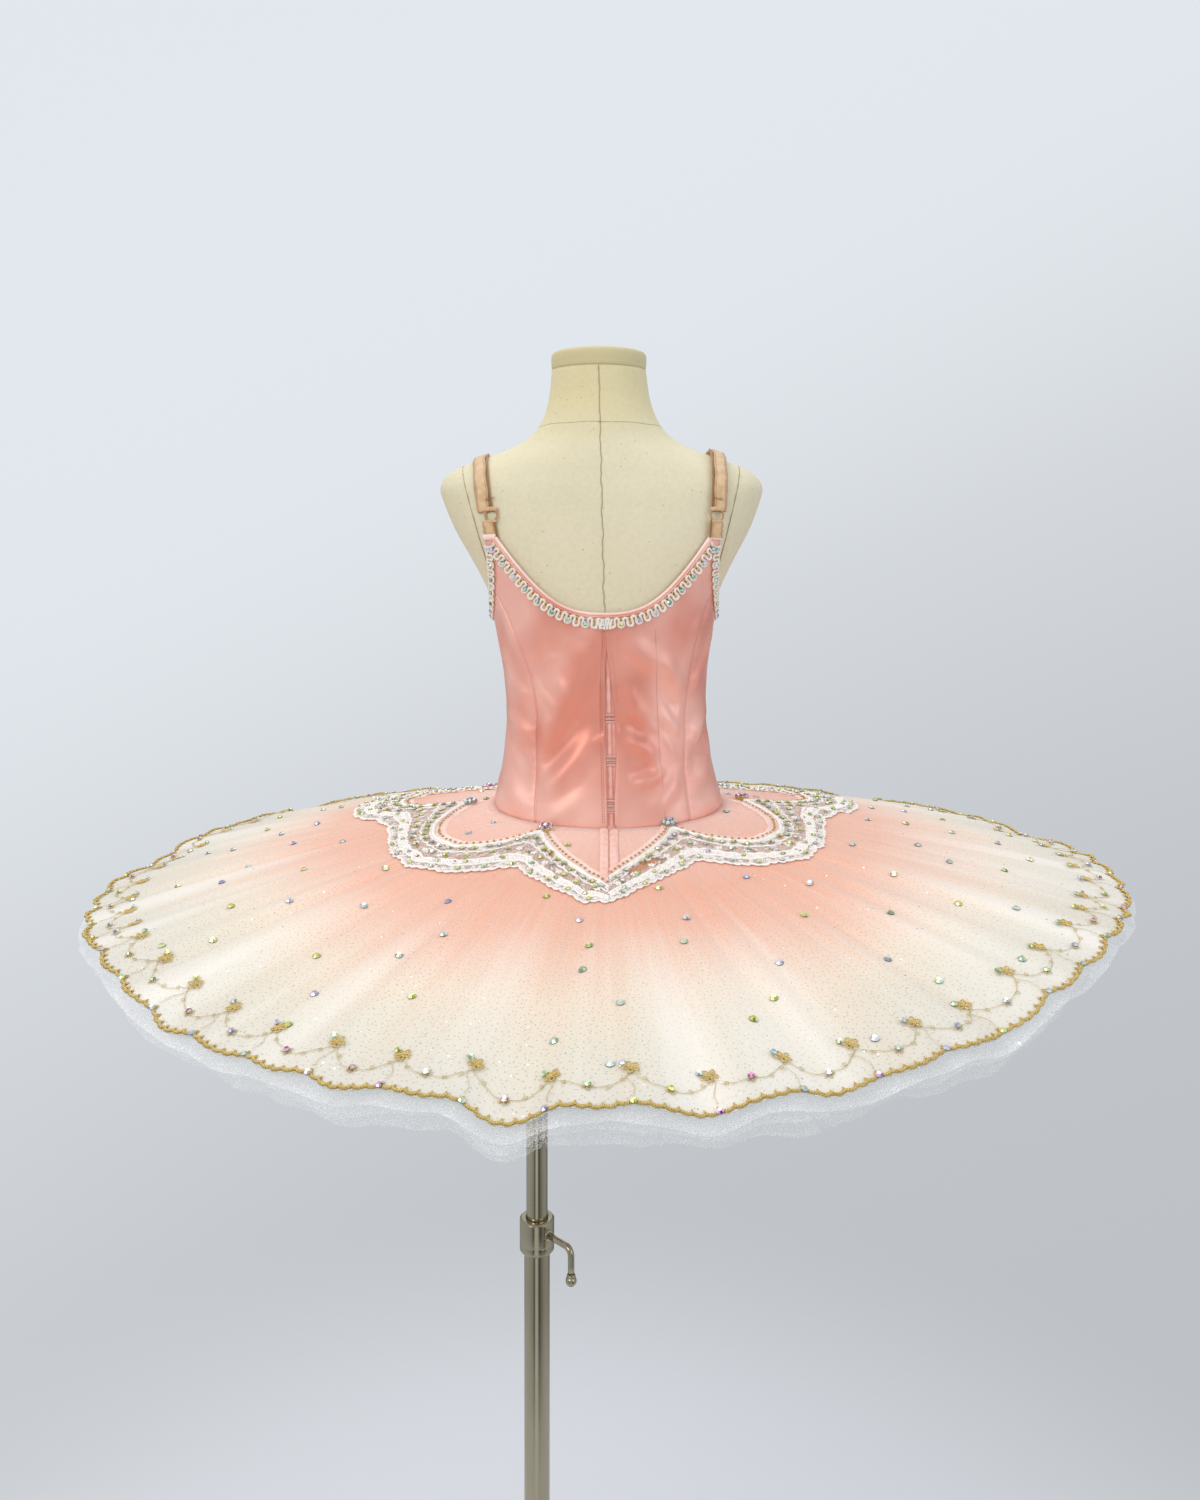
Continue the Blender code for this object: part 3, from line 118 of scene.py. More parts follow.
# ---------------------------------------------------------------- curves and surfaces
def curve(table):
    """Monotone cubic through a table's rows, whose first column is the one looked up."""
    keys, values = table[:, 0], table[:, 1:]
    span = np.diff(keys)[:, None]
    slope = np.diff(values, axis=0) / span
    product, total = slope[:-1] * slope[1:], slope[:-1] + slope[1:]
    inner = np.where(product > 0, 2 * product / np.where(product > 0, total, 1.0), 0.0)
    tangent = np.vstack([slope[:1], inner, slope[-1:]])

    def at(x):
        x = np.clip(np.asarray(x, float), keys[0], keys[-1])
        i = np.clip(np.searchsorted(keys, x, side="right") - 1, 0, len(keys) - 2)
        h = span[i]
        t = (x - keys[i])[..., None] / h
        return ((2 * t ** 3 - 3 * t ** 2 + 1) * values[i] + (t ** 3 - 2 * t ** 2 + t) * tangent[i] * h
                + (3 * t ** 2 - 2 * t ** 3) * values[i + 1] + (t ** 3 - t ** 2) * tangent[i + 1] * h)
    return at


form_at, princess_at, opening_at = curve(FORM_SECTIONS), curve(PRINCESS_SEAMS), curve(BACK_OPENING)
hip_at, rim_at, lace_at = curve(HIP_HEIGHTS), curve(RIM_HEIGHTS), curve(LACE_LOBES)


def arrays(*values):
    return np.broadcast_arrays(*(np.asarray(v, float) for v in values))


def wrap(psi):
    return (np.asarray(psi, float) + 180.0) % 360.0 - 180.0


def unit(v):
    return v / np.maximum(np.linalg.norm(v, axis=-1, keepdims=True), 1e-12)


def smooth(x):
    x = np.clip(x, 0.0, 1.0)
    return x * x * (3 - 2 * x)


def bell(x):
    return np.exp(-x ** 2)


def hump(x):
    """A cosine hill, 1 at 0 and 0 from 1 on."""
    return np.cos(np.pi * np.minimum(x, 1) / 2) ** 2


def sin_cos(degrees):
    return np.sin(np.radians(degrees)), np.cos(np.radians(degrees))


def circle(count):
    return 2 * np.pi * np.arange(count) / count


def lengths(line):
    """The distance along a line to each of its points."""
    return np.concatenate([[0.0], np.cumsum(np.linalg.norm(np.diff(line, axis=0), axis=1))])


def halve(is_low, low, high, steps=26):
    """Closes in on the place where a test that holds at low begins to fail."""
    for _ in range(steps):
        middle = (low + high) / 2
        below = is_low(middle)
        low, high = np.where(below, middle, low), np.where(below, high, middle)
    return low, high


def axis_x(z):
    return TORSO_X + LEAN * (z - WAIST_Z)


def form_surface(psi, z):
    psi, z = arrays(psi, z)
    half, back, front, centre, square = np.moveaxis(form_at(z), -1, 0)
    s, c = sin_cos(psi)
    depth = np.where(c >= 0, back, front)
    radius = (np.abs(s / half) ** square + np.abs(c / depth) ** square) ** (-1.0 / square)
    return np.stack([axis_x(z) + radius * s, centre + radius * c, z], -1)


def form_normal(psi, z):
    around = form_surface(psi + 0.5, z) - form_surface(psi - 0.5, z)
    up = form_surface(psi, z + 0.001) - form_surface(psi, z - 0.001)
    return unit(np.cross(up, around))


def form_point(psi, z, lift=0.0):
    return form_surface(psi, z) + form_normal(psi, z) * np.asarray(lift, float)[..., None]


def hem_point(psi, z, lift):
    normal = form_normal(psi, z) * np.array([1.0, 1.0, 0.0])
    return form_surface(psi, z) + unit(normal) * np.asarray(lift, float)[..., None]


def neckline_z(psi):
    from_back = np.abs(wrap(psi))

    def rise(low_z, share, power):
        return low_z + (STRAP_CORNER_Z - low_z) * np.minimum(share, 1.0) ** power
    return np.where(from_back <= 90.0, rise(NECK_BACK_Z, from_back / NECK_BACK_HALF, NECK_BACK_POWER),
                    rise(NECK_FRONT_Z, (180.0 - from_back) / NECK_FRONT_HALF, NECK_FRONT_POWER))


def armhole_z(psi):
    across = np.minimum(np.abs(np.abs(wrap(psi)) - ARMHOLE_CENTRE) / ARMHOLE_HALF, 1.0)
    return STRAP_CORNER_Z - ARMHOLE_DEPTH * np.sqrt(1.0 - across ** 2)


def armhole_psi(z, way):
    drop = np.clip((STRAP_CORNER_Z - z) / ARMHOLE_DEPTH, 0.0, 1.0)
    return ARMHOLE_CENTRE + way * ARMHOLE_HALF * np.sqrt(1.0 - drop ** 2)


def back_edge(z, left):
    across = opening_at(z)[..., 0] if left else -opening_at(z)[..., 1]
    return np.degrees(np.arctan2(across, form_at(z)[..., 1] + BODICE_GAP))


def back_princess(z, left):
    return np.where(z <= PRINCESS_SEAMS[-1, 0], princess_at(z)[..., 0 if left else 1], armhole_psi(z, -1))


def front_princess(z):
    top = armhole_z(FRONT_SEAM_TOP)
    share = np.maximum((z - WAIST_Z) / (top - WAIST_Z), 0.0)
    seam = FRONT_SEAM_HEM + (FRONT_SEAM_TOP - FRONT_SEAM_HEM) * np.minimum(share, 1.0) ** 1.5
    return np.where(z > top, armhole_psi(z, 1), seam)


def hip_z(psi):
    return hip_at(np.abs(wrap(psi)))[..., 0]


def rim_sag(psi):
    total = 0.0
    for centre, depth, half_width in RIM_DIPS:
        total = total - depth * hump(np.abs(wrap(psi - centre)) / half_width)
    return total


def scallop_radius(psi):
    phase = (np.asarray(psi, float) - SCALLOP_PHASE) * SCALLOPS / 360.0
    return RIM_RADIUS + SCALLOP_DEPTH * np.abs(np.sin(np.pi * phase))


PLEATS = [(k, 0.00034 + 0.00030 * rng.random(), 2 * math.pi * rng.random())
          for k in (19, 26, 33, 41, 52, 67, 83)]


def pleat_lift(psi, share):
    """Low irregular radial folds of the skirt: fine gathers at the hips, broader waves further out."""
    turn = np.radians(psi)
    broad = sum(height * np.cos(k * turn + phase + 0.5 * np.sin(3 * turn + k)) for k, height, phase in PLEATS)
    fine = 0.00042 * np.cos(150 * turn + 1.6 * np.sin(7 * turn)) * (0.6 + 0.4 * np.cos(11 * turn + 1.0))
    return (broad * smooth(share * 1.6) * (1.0 - 0.35 * smooth(share * 3 - 2))
            + fine * smooth(share * 14) * (1.0 - smooth(share * 1.5)) - 0.0008 * smooth(share * 4))


def skirt_point(psi, share, radius, hip_drop=0.0, rim_drop=0.0):
    psi, share = arrays(psi, share)
    hip = hem_point(psi, hip_z(psi) - hip_drop, np.full(psi.shape, SKIRT_INSET))
    s, c = sin_cos(psi)
    rim = np.stack([TORSO_X + radius * s, radius * c, rim_at(wrap(psi))[..., 0] - rim_drop], -1)
    point = hip + (rim - hip) * share[..., None]
    point[..., 2] += SIDE_ARCH * s * s * np.sin(np.pi * np.clip(share, 0, 1)) + rim_sag(psi) * share ** 3
    return point


MID_RIM = RIM_RADIUS + SCALLOP_DEPTH / 2


def share_at(psi, distance):
    """The share of the way from the hips to the rim that lies at a distance from the skirt's axis."""
    start, rim = (skirt_point(psi, share, MID_RIM)[..., :2] - np.array([TORSO_X, 0.0])
                  for share in (0.0, 1.0))
    way = rim - start
    a, b = np.sum(way * way, -1), np.sum(start * way, -1)
    c = np.sum(start * start, -1) - distance ** 2
    return np.clip((np.sqrt(np.maximum(b * b - a * c, 0.0)) - b) / a, 0.0, 1.05)


def pleated_point(psi, share, radius, lift=0.0):
    """A point on top of the overlay."""
    point = skirt_point(psi, share, radius)
    point[..., 2] += pleat_lift(psi, share) + lift
    return point


def on_skirt(psi, distance, lift=0.0):
    """A point on top of the overlay at a distance from the skirt's axis."""
    psi, distance = arrays(psi, distance)
    return pleated_point(psi, share_at(psi, distance), MID_RIM, lift)


def skirt_frame(psi, distance, lift=0.0):
    """Points, outward and sideways directions, and normals on the overlay."""
    psi, distance = arrays(psi, distance)
    out = unit(on_skirt(psi, distance + 0.004, lift) - on_skirt(psi, distance - 0.004, lift))
    around = unit(on_skirt(psi + 1.0, distance, lift) - on_skirt(psi - 1.0, distance, lift))
    normal = unit(np.cross(out, around))
    normal *= np.sign(normal[..., 2:3])
    return on_skirt(psi, distance, lift), out, unit(np.cross(normal, out)), normal


# ---------------------------------------------------------------- meshes
def colour(code):
    """Linear colour of an sRGB code such as e39a8c."""
    parts = [int(code[i:i + 2], 16) / 255 for i in (0, 2, 4)]
    return tuple(p / 12.92 if p <= 0.04045 else ((p + 0.055) / 1.055) ** 2.4 for p in parts) + (1.0,)


def piece(name, mesh, material, stands_for=(), body="form"):
    obj = bpy.data.objects.new(name, mesh)
    bpy.context.scene.collection.objects.link(obj)
    mesh.materials.append(material)
    if stands_for:
        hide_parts(*stands_for)
    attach(obj, body)
    return obj


def raw_mesh(name, verts, faces, is_smooth=True, uvs=None, tints=None):
    """faces is a list of index arrays, one for each number of corners."""
    verts = np.asarray(verts, float).reshape(-1, 3)
    faces = [np.asarray(f, int) for f in faces if len(f)]
    loops = np.concatenate([f.ravel() for f in faces])
    sizes = np.concatenate([np.full(len(f), f.shape[1]) for f in faces])
    starts = np.concatenate([[0], np.cumsum(sizes)[:-1]])
    mesh = bpy.data.meshes.new(name)
    mesh.vertices.add(len(verts))
    mesh.vertices.foreach_set("co", verts.ravel())
    mesh.loops.add(len(loops))
    mesh.loops.foreach_set("vertex_index", loops)
    mesh.polygons.add(len(sizes))
    mesh.polygons.foreach_set("loop_start", starts)
    mesh.update(calc_edges=True)
    mesh.polygons.foreach_set("use_smooth", np.full(len(sizes), is_smooth))
    if uvs is not None:
        layer = mesh.uv_layers.new(name="cloth")
        layer.data.foreach_set("uv", np.asarray(uvs, float).reshape(-1, 2)[loops].ravel())
    if tints is not None:
        layer = mesh.color_attributes.new("tint", "FLOAT_COLOR", "CORNER")
        layer.data.foreach_set("color", np.repeat(tints, sizes, axis=0).ravel())
    return mesh


def grid_faces(rows, columns, closed=False, keep=None):
    i, j = np.meshgrid(np.arange(rows - 1), np.arange(columns if closed else columns - 1), indexing="ij")
    k = (j + 1) % columns
    quads = np.stack([i * columns + j, i * columns + k, (i + 1) * columns + k, (i + 1) * columns + j], -1)
    return quads[keep] if keep is not None else quads.reshape(-1, 4)


def cloth(name, points, material, thickness, slot, stands_for=(), keep=None, uvs=None, flip=False):
    """A thin shell below a grid of points whose faces look outward."""
    quads = grid_faces(*points.shape[:2], keep=keep)
    if keep is not None:
        used, quads = np.unique(quads, return_inverse=True)
        points, quads = points.reshape(-1, 3)[used], quads.reshape(-1, 4)
        uvs = None if uvs is None else uvs.reshape(-1, 2)[used]
    mesh = raw_mesh(name, points, [quads[:, ::-1] if flip else quads], uvs=uvs)
    obj = piece(name, mesh, material, stands_for)
    if thickness:
        shell = obj.modifiers.new("wall", "SOLIDIFY")
        shell.thickness, shell.offset = thickness, -1.0
    return obj


class Pile:
    """Many small shapes joined into one mesh."""

    def __init__(self):
        self.verts, self.faces, self.tints, self.count = [], {}, {}, 0

    def add(self, verts, faces, tints=None):
        """faces maps a number of corners to an index array; tints likewise to a colour for each face."""
        verts = np.asarray(verts, float).reshape(-1, 3)
        for size, indices in faces.items():
            indices = np.asarray(indices, int)
            if not len(indices):
                continue
            self.faces.setdefault(size, []).append(indices + self.count)
            if tints is not None:
                self.tints.setdefault(size, []).append(tints[size])
        self.verts.append(verts)
        self.count += len(verts)

    def tube(self, points, normals, radius, sides=6, closed=False, flat=1.0, turn=0.0):
        """A cord along points; flat squeezes it along the normals."""
        points, normals = np.asarray(points, float), np.asarray(normals, float)
        if closed:
            along = unit(np.roll(points, -1, 0) - np.roll(points, 1, 0))
        else:
            along = unit(np.gradient(points, axis=0))
        side = unit(np.cross(normals, along))
        up = np.cross(along, side)
        a = circle(sides) + turn
        radius = np.broadcast_to(np.asarray(radius, float), (len(points),))[:, None, None]
        ring = (points[:, None] + side[:, None] * np.cos(a)[None, :, None] * radius
                + up[:, None] * np.sin(a)[None, :, None] * radius * flat)
        n = len(points)
        i, j = np.meshgrid(np.arange(n if closed else n - 1), np.arange(sides), indexing="ij")
        i2, j2 = (i + 1) % n, (j + 1) % sides
        quads = np.stack([i * sides + j, i * sides + j2, i2 * sides + j2, i2 * sides + j], -1).reshape(-1, 4)
        faces = {4: quads}
        if not closed:
            faces[sides] = np.array([np.arange(sides)[::-1], (n - 1) * sides + np.arange(sides)])
            if sides == 4:
                faces = {4: np.vstack([quads, faces[4]])}
        self.add(ring, faces)

    def place(self, shape, at, x_axis, normal, size, spin=0.0, tints=None):
        """Copies of shape = (verts, faces) at many points, each with its own axes and size."""
        verts, faces = shape
        at, x_axis, normal = (np.atleast_2d(a) for a in (at, x_axis, normal))
        count = len(at)
        size = np.broadcast_to(np.asarray(size, float), (count,))
        spin = np.broadcast_to(np.asarray(spin, float), (count,))
        normal = np.broadcast_to(normal, (count, 3))
        x_axis = unit(np.cross(np.cross(normal, x_axis), normal))
        y_axis = np.cross(normal, x_axis)
        c, s = np.cos(spin)[:, None], np.sin(spin)[:, None]
        x2, y2 = x_axis * c + y_axis * s, y_axis * c - x_axis * s
        local = np.asarray(verts, float)[None] * size[:, None, None]
        world = (at[:, None] + local[..., 0:1] * x2[:, None] + local[..., 1:2] * y2[:, None]
                 + local[..., 2:3] * normal[:, None])
        stride = len(verts)
        shifts = np.arange(count)[:, None, None] * stride
        moved = {k: (np.asarray(f, int)[None] + shifts).reshape(-1, np.asarray(f).shape[1])
                 for k, f in faces.items()}
        self.add(world, moved, tints)

    def make(self, name, material, slot, stands_for=(), body="form", is_smooth=True):
        sizes = sorted(self.faces)
        faces = [np.concatenate(self.faces[k]) for k in sizes]
        tints = np.concatenate([np.concatenate(self.tints[k]) for k in sizes]) if self.tints else None
        mesh = raw_mesh(name, np.concatenate(self.verts), faces, is_smooth, tints=tints)
        return piece(name, mesh, material, stands_for, body)


class Route:
    """A line on a surface, with the way into the cloth and the way out of it."""

    def __init__(self, points, across, normals, closed=False):
        self.points, self.across, self.normals = points, unit(across), unit(normals)
        self.along = lengths(points)
        self.length = self.along[-1]
        self.closed = closed

    def look(self, values, s):
        s = s % self.length if self.closed else s
        return np.stack([np.interp(s, self.along, values[:, i]) for i in range(3)], -1)

    def at(self, s, aside=0.0, lift=0.0):
        s = np.asarray(s, float)
        aside, lift = (np.broadcast_to(np.asarray(v, float), s.shape)[..., None] for v in (aside, lift))
        place = self.look(self.points, s)
        return place + self.look(self.across, s) * aside + self.look(self.normals, s) * lift

    def normal(self, s):
        return unit(self.look(self.normals, np.asarray(s, float)))


def lathe(pile, profile, steps, centre=(0.0, 0.0)):
    """A closed profile of (radius, z) points turned about an upright axis."""
    profile, a = np.array(profile, float), circle(steps)
    ring = np.stack([centre[0] + profile[:, :1] * np.cos(a), centre[1] + profile[:, :1] * np.sin(a),
                     np.repeat(profile[:, 1:], steps, 1)], -1)
    pile.add(ring, {4: grid_faces(len(profile), steps, closed=True)[:, ::-1]})


# ---------------------------------------------------------------- materials
class Nodes:
    """Short ways to write a node tree."""

    def __init__(self, tree):
        self.tree = tree

    def node(self, kind, inputs=None, **settings):
        made = self.tree.nodes.new("ShaderNode" + kind)
        for key, value in settings.items():
            setattr(made, key, value)
        for key, value in (inputs or {}).items():
            value = colour(value) if isinstance(value, str) else value
            if isinstance(value, bpy.types.NodeSocket):
                self.tree.links.new(value, made.inputs[key])
            else:
                made.inputs[key].default_value = value
        return made

    def math(self, kind, a, b=0.0, c=0.0):
        return self.node("Math", {0: a, 1: b, 2: c}, operation=kind).outputs[0]

    def times(self, a, b, plus=0.0):
        return self.math("MULTIPLY_ADD", a, b, plus)

    def minus(self, a, b):
        return self.math("SUBTRACT", a, b)

    def ramp(self, factor, *stops, blend="LINEAR"):
        made = self.node("ValToRGB", {"Fac": factor})
        ramp = made.color_ramp
        ramp.interpolation = blend
        while len(ramp.elements) < len(stops):
            ramp.elements.new(0.5)
        for element, (at, value) in zip(ramp.elements, stops):
            element.position = at
            element.color = colour(value) if isinstance(value, str) else (value, value, value, 1.0)
        return made.outputs[0]

    def mix(self, factor, a, b):
        return self.node("Mix", {0: factor, 6: a, 7: b}, data_type="RGBA").outputs[2]


class Material(Nodes):
    """A Principled material. Its coats are painted over the colour under."""

    def __init__(self, name, base, rough=0.6, metallic=0.0, under=None, **values):
        self.mat = bpy.data.materials.new(name)
        self.mat.use_nodes = True
        super().__init__(self.mat.node_tree)
        self.out = self.tree.nodes["Principled BSDF"]
        for key, value in dict(values, Base_Color=colour(base), Roughness=rough, Metallic=metallic).items():
            self.out.inputs[key.replace("_", " ")].default_value = value
        self.under, self.bumps = under or base, None

    def link(self, value, socket):
        self.tree.links.new(value, self.out.inputs[socket])

    def paint(self, coat, factor, *stops):
        """Lays a colour over those before it, as far as the factor or its ramp says."""
        self.under = self.mix(self.ramp(factor, *stops) if stops else factor, self.under, coat)
        self.link(self.under, "Base Color")

    def bump(self, height, strength, distance):
        made = self.node("Bump", {"Height": height, "Strength": strength, "Distance": distance})
        if self.bumps:
            self.tree.links.new(self.bumps, made.inputs["Normal"])
        self.bumps = made.outputs[0]
        self.link(self.bumps, "Normal")

    def place(self, x=1.0, y=1.0, z=1.0, cloth=False):
        coordinates = self.node("TexCoord").outputs["UV" if cloth else "Object"]
        return self.node("Mapping", {"Vector": coordinates, "Scale": (x, y, z)}).outputs[0]

    def parts(self, place=None):
        return self.node("SeparateXYZ", {0: place or self.place()}).outputs

    def noise(self, scale, detail=2.0, place=None):
        return self.node("TexNoise", {"Vector": place or self.place(), "Scale": scale,
                                      "Detail": detail}).outputs[0]

    def streaks(self, across, along, detail=2.0):
        return self.noise(1.0, detail, self.place(across, along, cloth=True))

    def wave(self, scale, distortion, detail=1.0, bands="Z", place=None):
        sizes = {"Vector": place or self.place(), "Scale": scale, "Distortion": distortion, "Detail": detail}
        return self.node("TexWave", sizes, bands_direction=bands).outputs[0]

    def cells(self, scale, cloth=None, feature="F1", randomness=1.0):
        return self.node("TexVoronoi",
                         {"Vector": cloth or self.place(), "Scale": scale, "Randomness": randomness},
                         voronoi_dimensions="2D" if cloth else "3D", feature=feature).outputs

    def glints(self, scale, rarity, size, rough, fade, metallic):
        """Small bright flakes in the few cells whose chance is above the rarity."""
        flake = self.cells(scale)
        chance = self.node("SeparateColor", {0: flake["Color"]}).outputs[0]
        glint = self.times(self.math("GREATER_THAN", chance, rarity),
                           self.math("LESS_THAN", flake["Distance"], size))
        self.paint("ffffff", glint)
        self.link(self.times(glint, metallic), "Metallic")
        self.link(self.times(glint, -fade, rough), "Roughness")
        return glint


def linen_material():
    m = Material("linen", "d9cfae", 0.86, under="d8d0ae", Sheen_Weight=0.15)
    grain = m.noise(260.0)
    height = m.minus(m.parts()[2], 0.8)
    m.paint("e9e2c8", m.times(m.noise(9.0, 4.0), 0.9))
    m.paint("e0d3a0", height, (0.56, 0.0), (0.60, 0.7))
    m.paint("cdc296", height, (0.634, 0.0), (0.638, 0.9))
    m.paint("c6bb94", grain, (0.35, 0.0), (0.75, 0.22))
    specks = m.math("LESS_THAN", m.cells(170.0)["Distance"], 0.13)
    m.paint("8d7a4e", m.times(m.times(specks, m.math("GREATER_THAN", m.noise(55.0, 1.0), 0.60)), 0.45))
    m.bump(m.mix(0.5, m.wave(480.0, 2.5), m.wave(430.0, 3.0, bands="DIAGONAL")), 0.22, 0.0004)
    m.bump(grain, 0.25, 0.0004)
    return m.mat


def satin_material(name, deep, light, rough=0.30, metallic=0.45):
    m = Material(name, light, rough, metallic, deep, Sheen_Weight=0.25, Sheen_Roughness=0.35,
                 Specular_IOR_Level=0.8)
    # Broad noise patches of the light tone over the deep one: painted sheen and shade on the satin; the same
    # noise also varies the roughness.
    sheen_patches, slub = m.noise(16.0, 2.0, m.place(z=0.7)), m.noise(420.0, 2.0, m.place(z=0.12))
    m.paint(light, sheen_patches, (0.38, 0.0), (0.60, 1.0))
    m.paint(deep, slub, (0.3, 0.0), (0.8, 0.10))
    # Paler pink on the lowest part of the bodice, fading out by 1.09 m: painted light on the flared hips.
    m.paint("ffd2c4", m.minus(m.parts()[2], 0.8), (0.22, 0.55), (0.29, 0.0))
    m.link(m.times(sheen_patches, 0.16, rough - 0.08), "Roughness")
    m.bump(m.wave(900.0, 1.0), 0.05, 0.0002)
    m.bump(slub, 0.06, 0.0003)
    return m.mat


def thread_material(name, deep, light, rough=0.55, metallic=0.0, scale=900.0, painted_glow=0.0):
    """Twisted cord: fine slanting strands over a mottled colour. Its painted glow is light it gives off
    though it is no lamp.
    """
    m = Material(name, light, rough, metallic, deep, Sheen_Weight=0.0 if metallic else 0.3,
                 # Emission here is a painted glow that makes the cord brighter than its lamps alone make it.
                 Emission_Color=colour(light), Emission_Strength=painted_glow)
    strands = m.wave(scale, 3.0, 2.0, "DIAGONAL")
    m.paint(light, strands, (0.2, 0.0), (0.8, 1.0))
    m.paint(light, m.noise(scale * 0.35), (0.4, 0.0), (0.7, 0.5))
    m.bump(strands, 0.6, 0.0004)
    return m.mat


def tulle_material():
    """Dotted tulle, peach at the hips and ivory from two thirds of the way out."""
    m = Material("dotted_tulle", "f6efe6", 0.62, Sheen_Weight=0.35, Sheen_Roughness=0.5)
    cloth_place = m.place(cloth=True)
    x, y, _ = m.parts()
    east, out = m.minus(x, TORSO_X), m.parts(cloth_place)[1]
    distance = m.math("SQRT", m.times(east, east, m.times(y, y)))
    streaks, broad = m.streaks(40.0, 2.2, 3.0), m.streaks(16.0, 1.2)
    for drift, reach in ((m.noise(7.0, 3.0), 0.085), (streaks, 0.045)):
        distance = m.times(m.minus(drift, 0.5), reach, distance)
    m.under = m.ramp(m.times(distance, 2.0), (0.20, "ffd8c8"), (0.28, "f7c8b6"), (0.40, "efb094"),
                     (0.50, "efb79d"), (0.60, "efccb6"), (0.70, "ebddc8"), (0.80, "dedccb"), (0.94, "d5d8d0"))
    far, outer = m.ramp(out, (0.10, 0.0), (0.30, 1.0)), m.ramp(out, (0.25, 0.0), (0.38, 1.0))
    m.paint("c9a38c", streaks, (0.30, 0.10), (0.62, 0.0))
    m.paint("f0e9e0", m.times(m.ramp(m.streaks(120.0, 5.0), (0.4, 0.0), (0.7, 0.20)), far))
    m.paint("d9a48f", m.cells(620.0, cloth_place)[0], (0.35, 0.0), (0.75, 0.22))
    dots = m.math("LESS_THAN", m.cells(205.0, cloth_place, randomness=0.85)["Distance"], 0.125)
    m.paint("9c9894", m.times(dots, m.times(far, 0.15, 0.40)))
    # Paler on the crests of the broad folds in the outer skirt and darker in their hollows further out:
    # painted highlight and painted shade, following the noise that the bump raises.
    m.paint("f8f6f0", m.times(m.ramp(broad, (0.48, 0.0), (0.66, 0.55)), outer))
    m.paint("dccab6", m.times(m.ramp(broad, (0.30, 0.35), (0.44, 0.0)), far))
    m.glints(520.0, 0.988, 0.32, 0.62, 0.45, 0.9)
    m.bump(broad, 0.45, 0.0070)
    m.bump(m.streaks(70.0, 5.0), 0.22, 0.0014)
    m.bump(m.cells(900.0, cloth_place)[0], 0.18, 0.0004)
    return m.mat


def net_material(name, base, see_through, glitter=False):
    """Sheer stiff net: the weave is finer than the view shows, so it is a soft grey of holes."""
    # A faint pale glow on every net: painted light for light scattered through the thin net.
    m = Material(name, base, 0.55, Sheen_Weight=0.2, Emission_Color=colour("e6eaee"), Emission_Strength=0.20)
    cells = m.cells(620.0, feature="DISTANCE_TO_EDGE")[0]
    cover = m.times(m.ramp(cells, (0.02, 1.0 - see_through * 0.6), (0.16, 1.0 - see_through)),
                    m.times(m.noise(34.0, 3.0), 1.6, 0.2))
    if glitter:
        cover = m.math("MAXIMUM", cover, m.glints(430.0, 0.955, 0.36, 0.55, 0.4, 0.8))
    m.link(m.math("MINIMUM", cover, 1.0), "Alpha")
    return m.mat


def lace_material():
    """Embroidered net: dense beside the inner cord and in the outer band, and sheer between them."""
    # A faint warm-white glow: painted light that makes the lace brighter than its lamps alone make it.
    m = Material("lace_ground", "fbf8f4", 0.7, under="ece4dc", Sheen_Weight=0.3,
                 Emission_Color=colour("fff6f2"), Emission_Strength=0.11)
    place = m.place(cloth=True)
    cells = m.cells(420.0, place, "DISTANCE_TO_EDGE")[0]
    dense = m.ramp(m.times(m.parts(place)[1], 20.0), (0.0, 1.0), (0.06, 0.7), (0.12, 0.12), (0.27, 0.30),
                   (0.33, 0.02), (0.59, 0.04), (0.65, 0.86), (0.79, 0.60), (0.83, 0.08), (0.93, 0.16),
                   (0.98, 0.8))
    sewn = m.ramp(m.times(dense, 0.42, m.noise(150.0, 3.0, place)), (0.57, 0.0), (0.64, 1.0))
    m.link(m.math("MINIMUM", m.math("ADD", m.ramp(cells, (0.05, 0.85), (0.12, 0.12)), sewn), 1.0), "Alpha")
    stitches = m.wave(620.0, 6.0, 2.0, "X", place)
    m.paint("fffdf9", m.times(stitches, sewn))
    m.bump(m.times(stitches, 0.35, sewn), 0.7, 0.0010)
    return m.mat


def elastic_material():
    m = Material("elastic", "edcea4", 0.5, under="dcb486", Sheen_Weight=0.3)
    place = m.place(cloth=True)
    m.paint("f0cfa2", m.noise(160.0), (0.3, 0.0), (0.7, 1.0))
    m.paint("b08658", m.math("ABSOLUTE", m.minus(m.parts(place)[0], 0.5)), (0.30, 0.0), (0.36, 0.75),
            (0.42, 0.35))
    m.bump(m.wave(700.0, 0.4, 2.0, "Y", place), 0.5, 0.0004)
    return m.mat


def metal_material(name, base, rough, brushed=False):
    m = Material(name, base, rough, 1.0)
    if brushed:
        lines = m.noise(1.0, 2.0, m.place(30.0, 30.0, 900.0))
        m.link(m.times(lines, 0.25, rough - 0.10), "Roughness")
        m.bump(lines, 0.08, 0.0002)
    else:
        smear = m.noise(40.0, 3.0, m.place(z=0.15))
        m.link(m.times(smear, 0.16, rough - 0.06), "Roughness")
        m.paint("8f8572", smear, (0.42, 0.0), (0.72, 0.5))
    return m.mat


def crystal_material():
    """Foiled crystal: each facet's own colour comes with the mesh."""
    m = Material("crystal", "dfe4ea", 0.10, 0.35, Coat_Weight=1.0, Coat_Roughness=0.02)
    m.under = m.node("Attribute", attribute_name="tint").outputs["Color"]
    m.paint("f4f2fa", m.noise(500.0, 1.0), (0.4, 0.0), (0.8, 0.35))
    return m.mat


def plain_cloth_material(name, deep, light, rough=0.7):
    m = Material(name, light, rough, under=deep, Sheen_Weight=0.3)
    m.paint(light, m.noise(60.0, 3.0), (0.3, 0.0), (0.7, 1.0))
    m.bump(m.wave(620.0, 1.5, bands="DIAGONAL"), 0.25, 0.0003)
    return m.mat


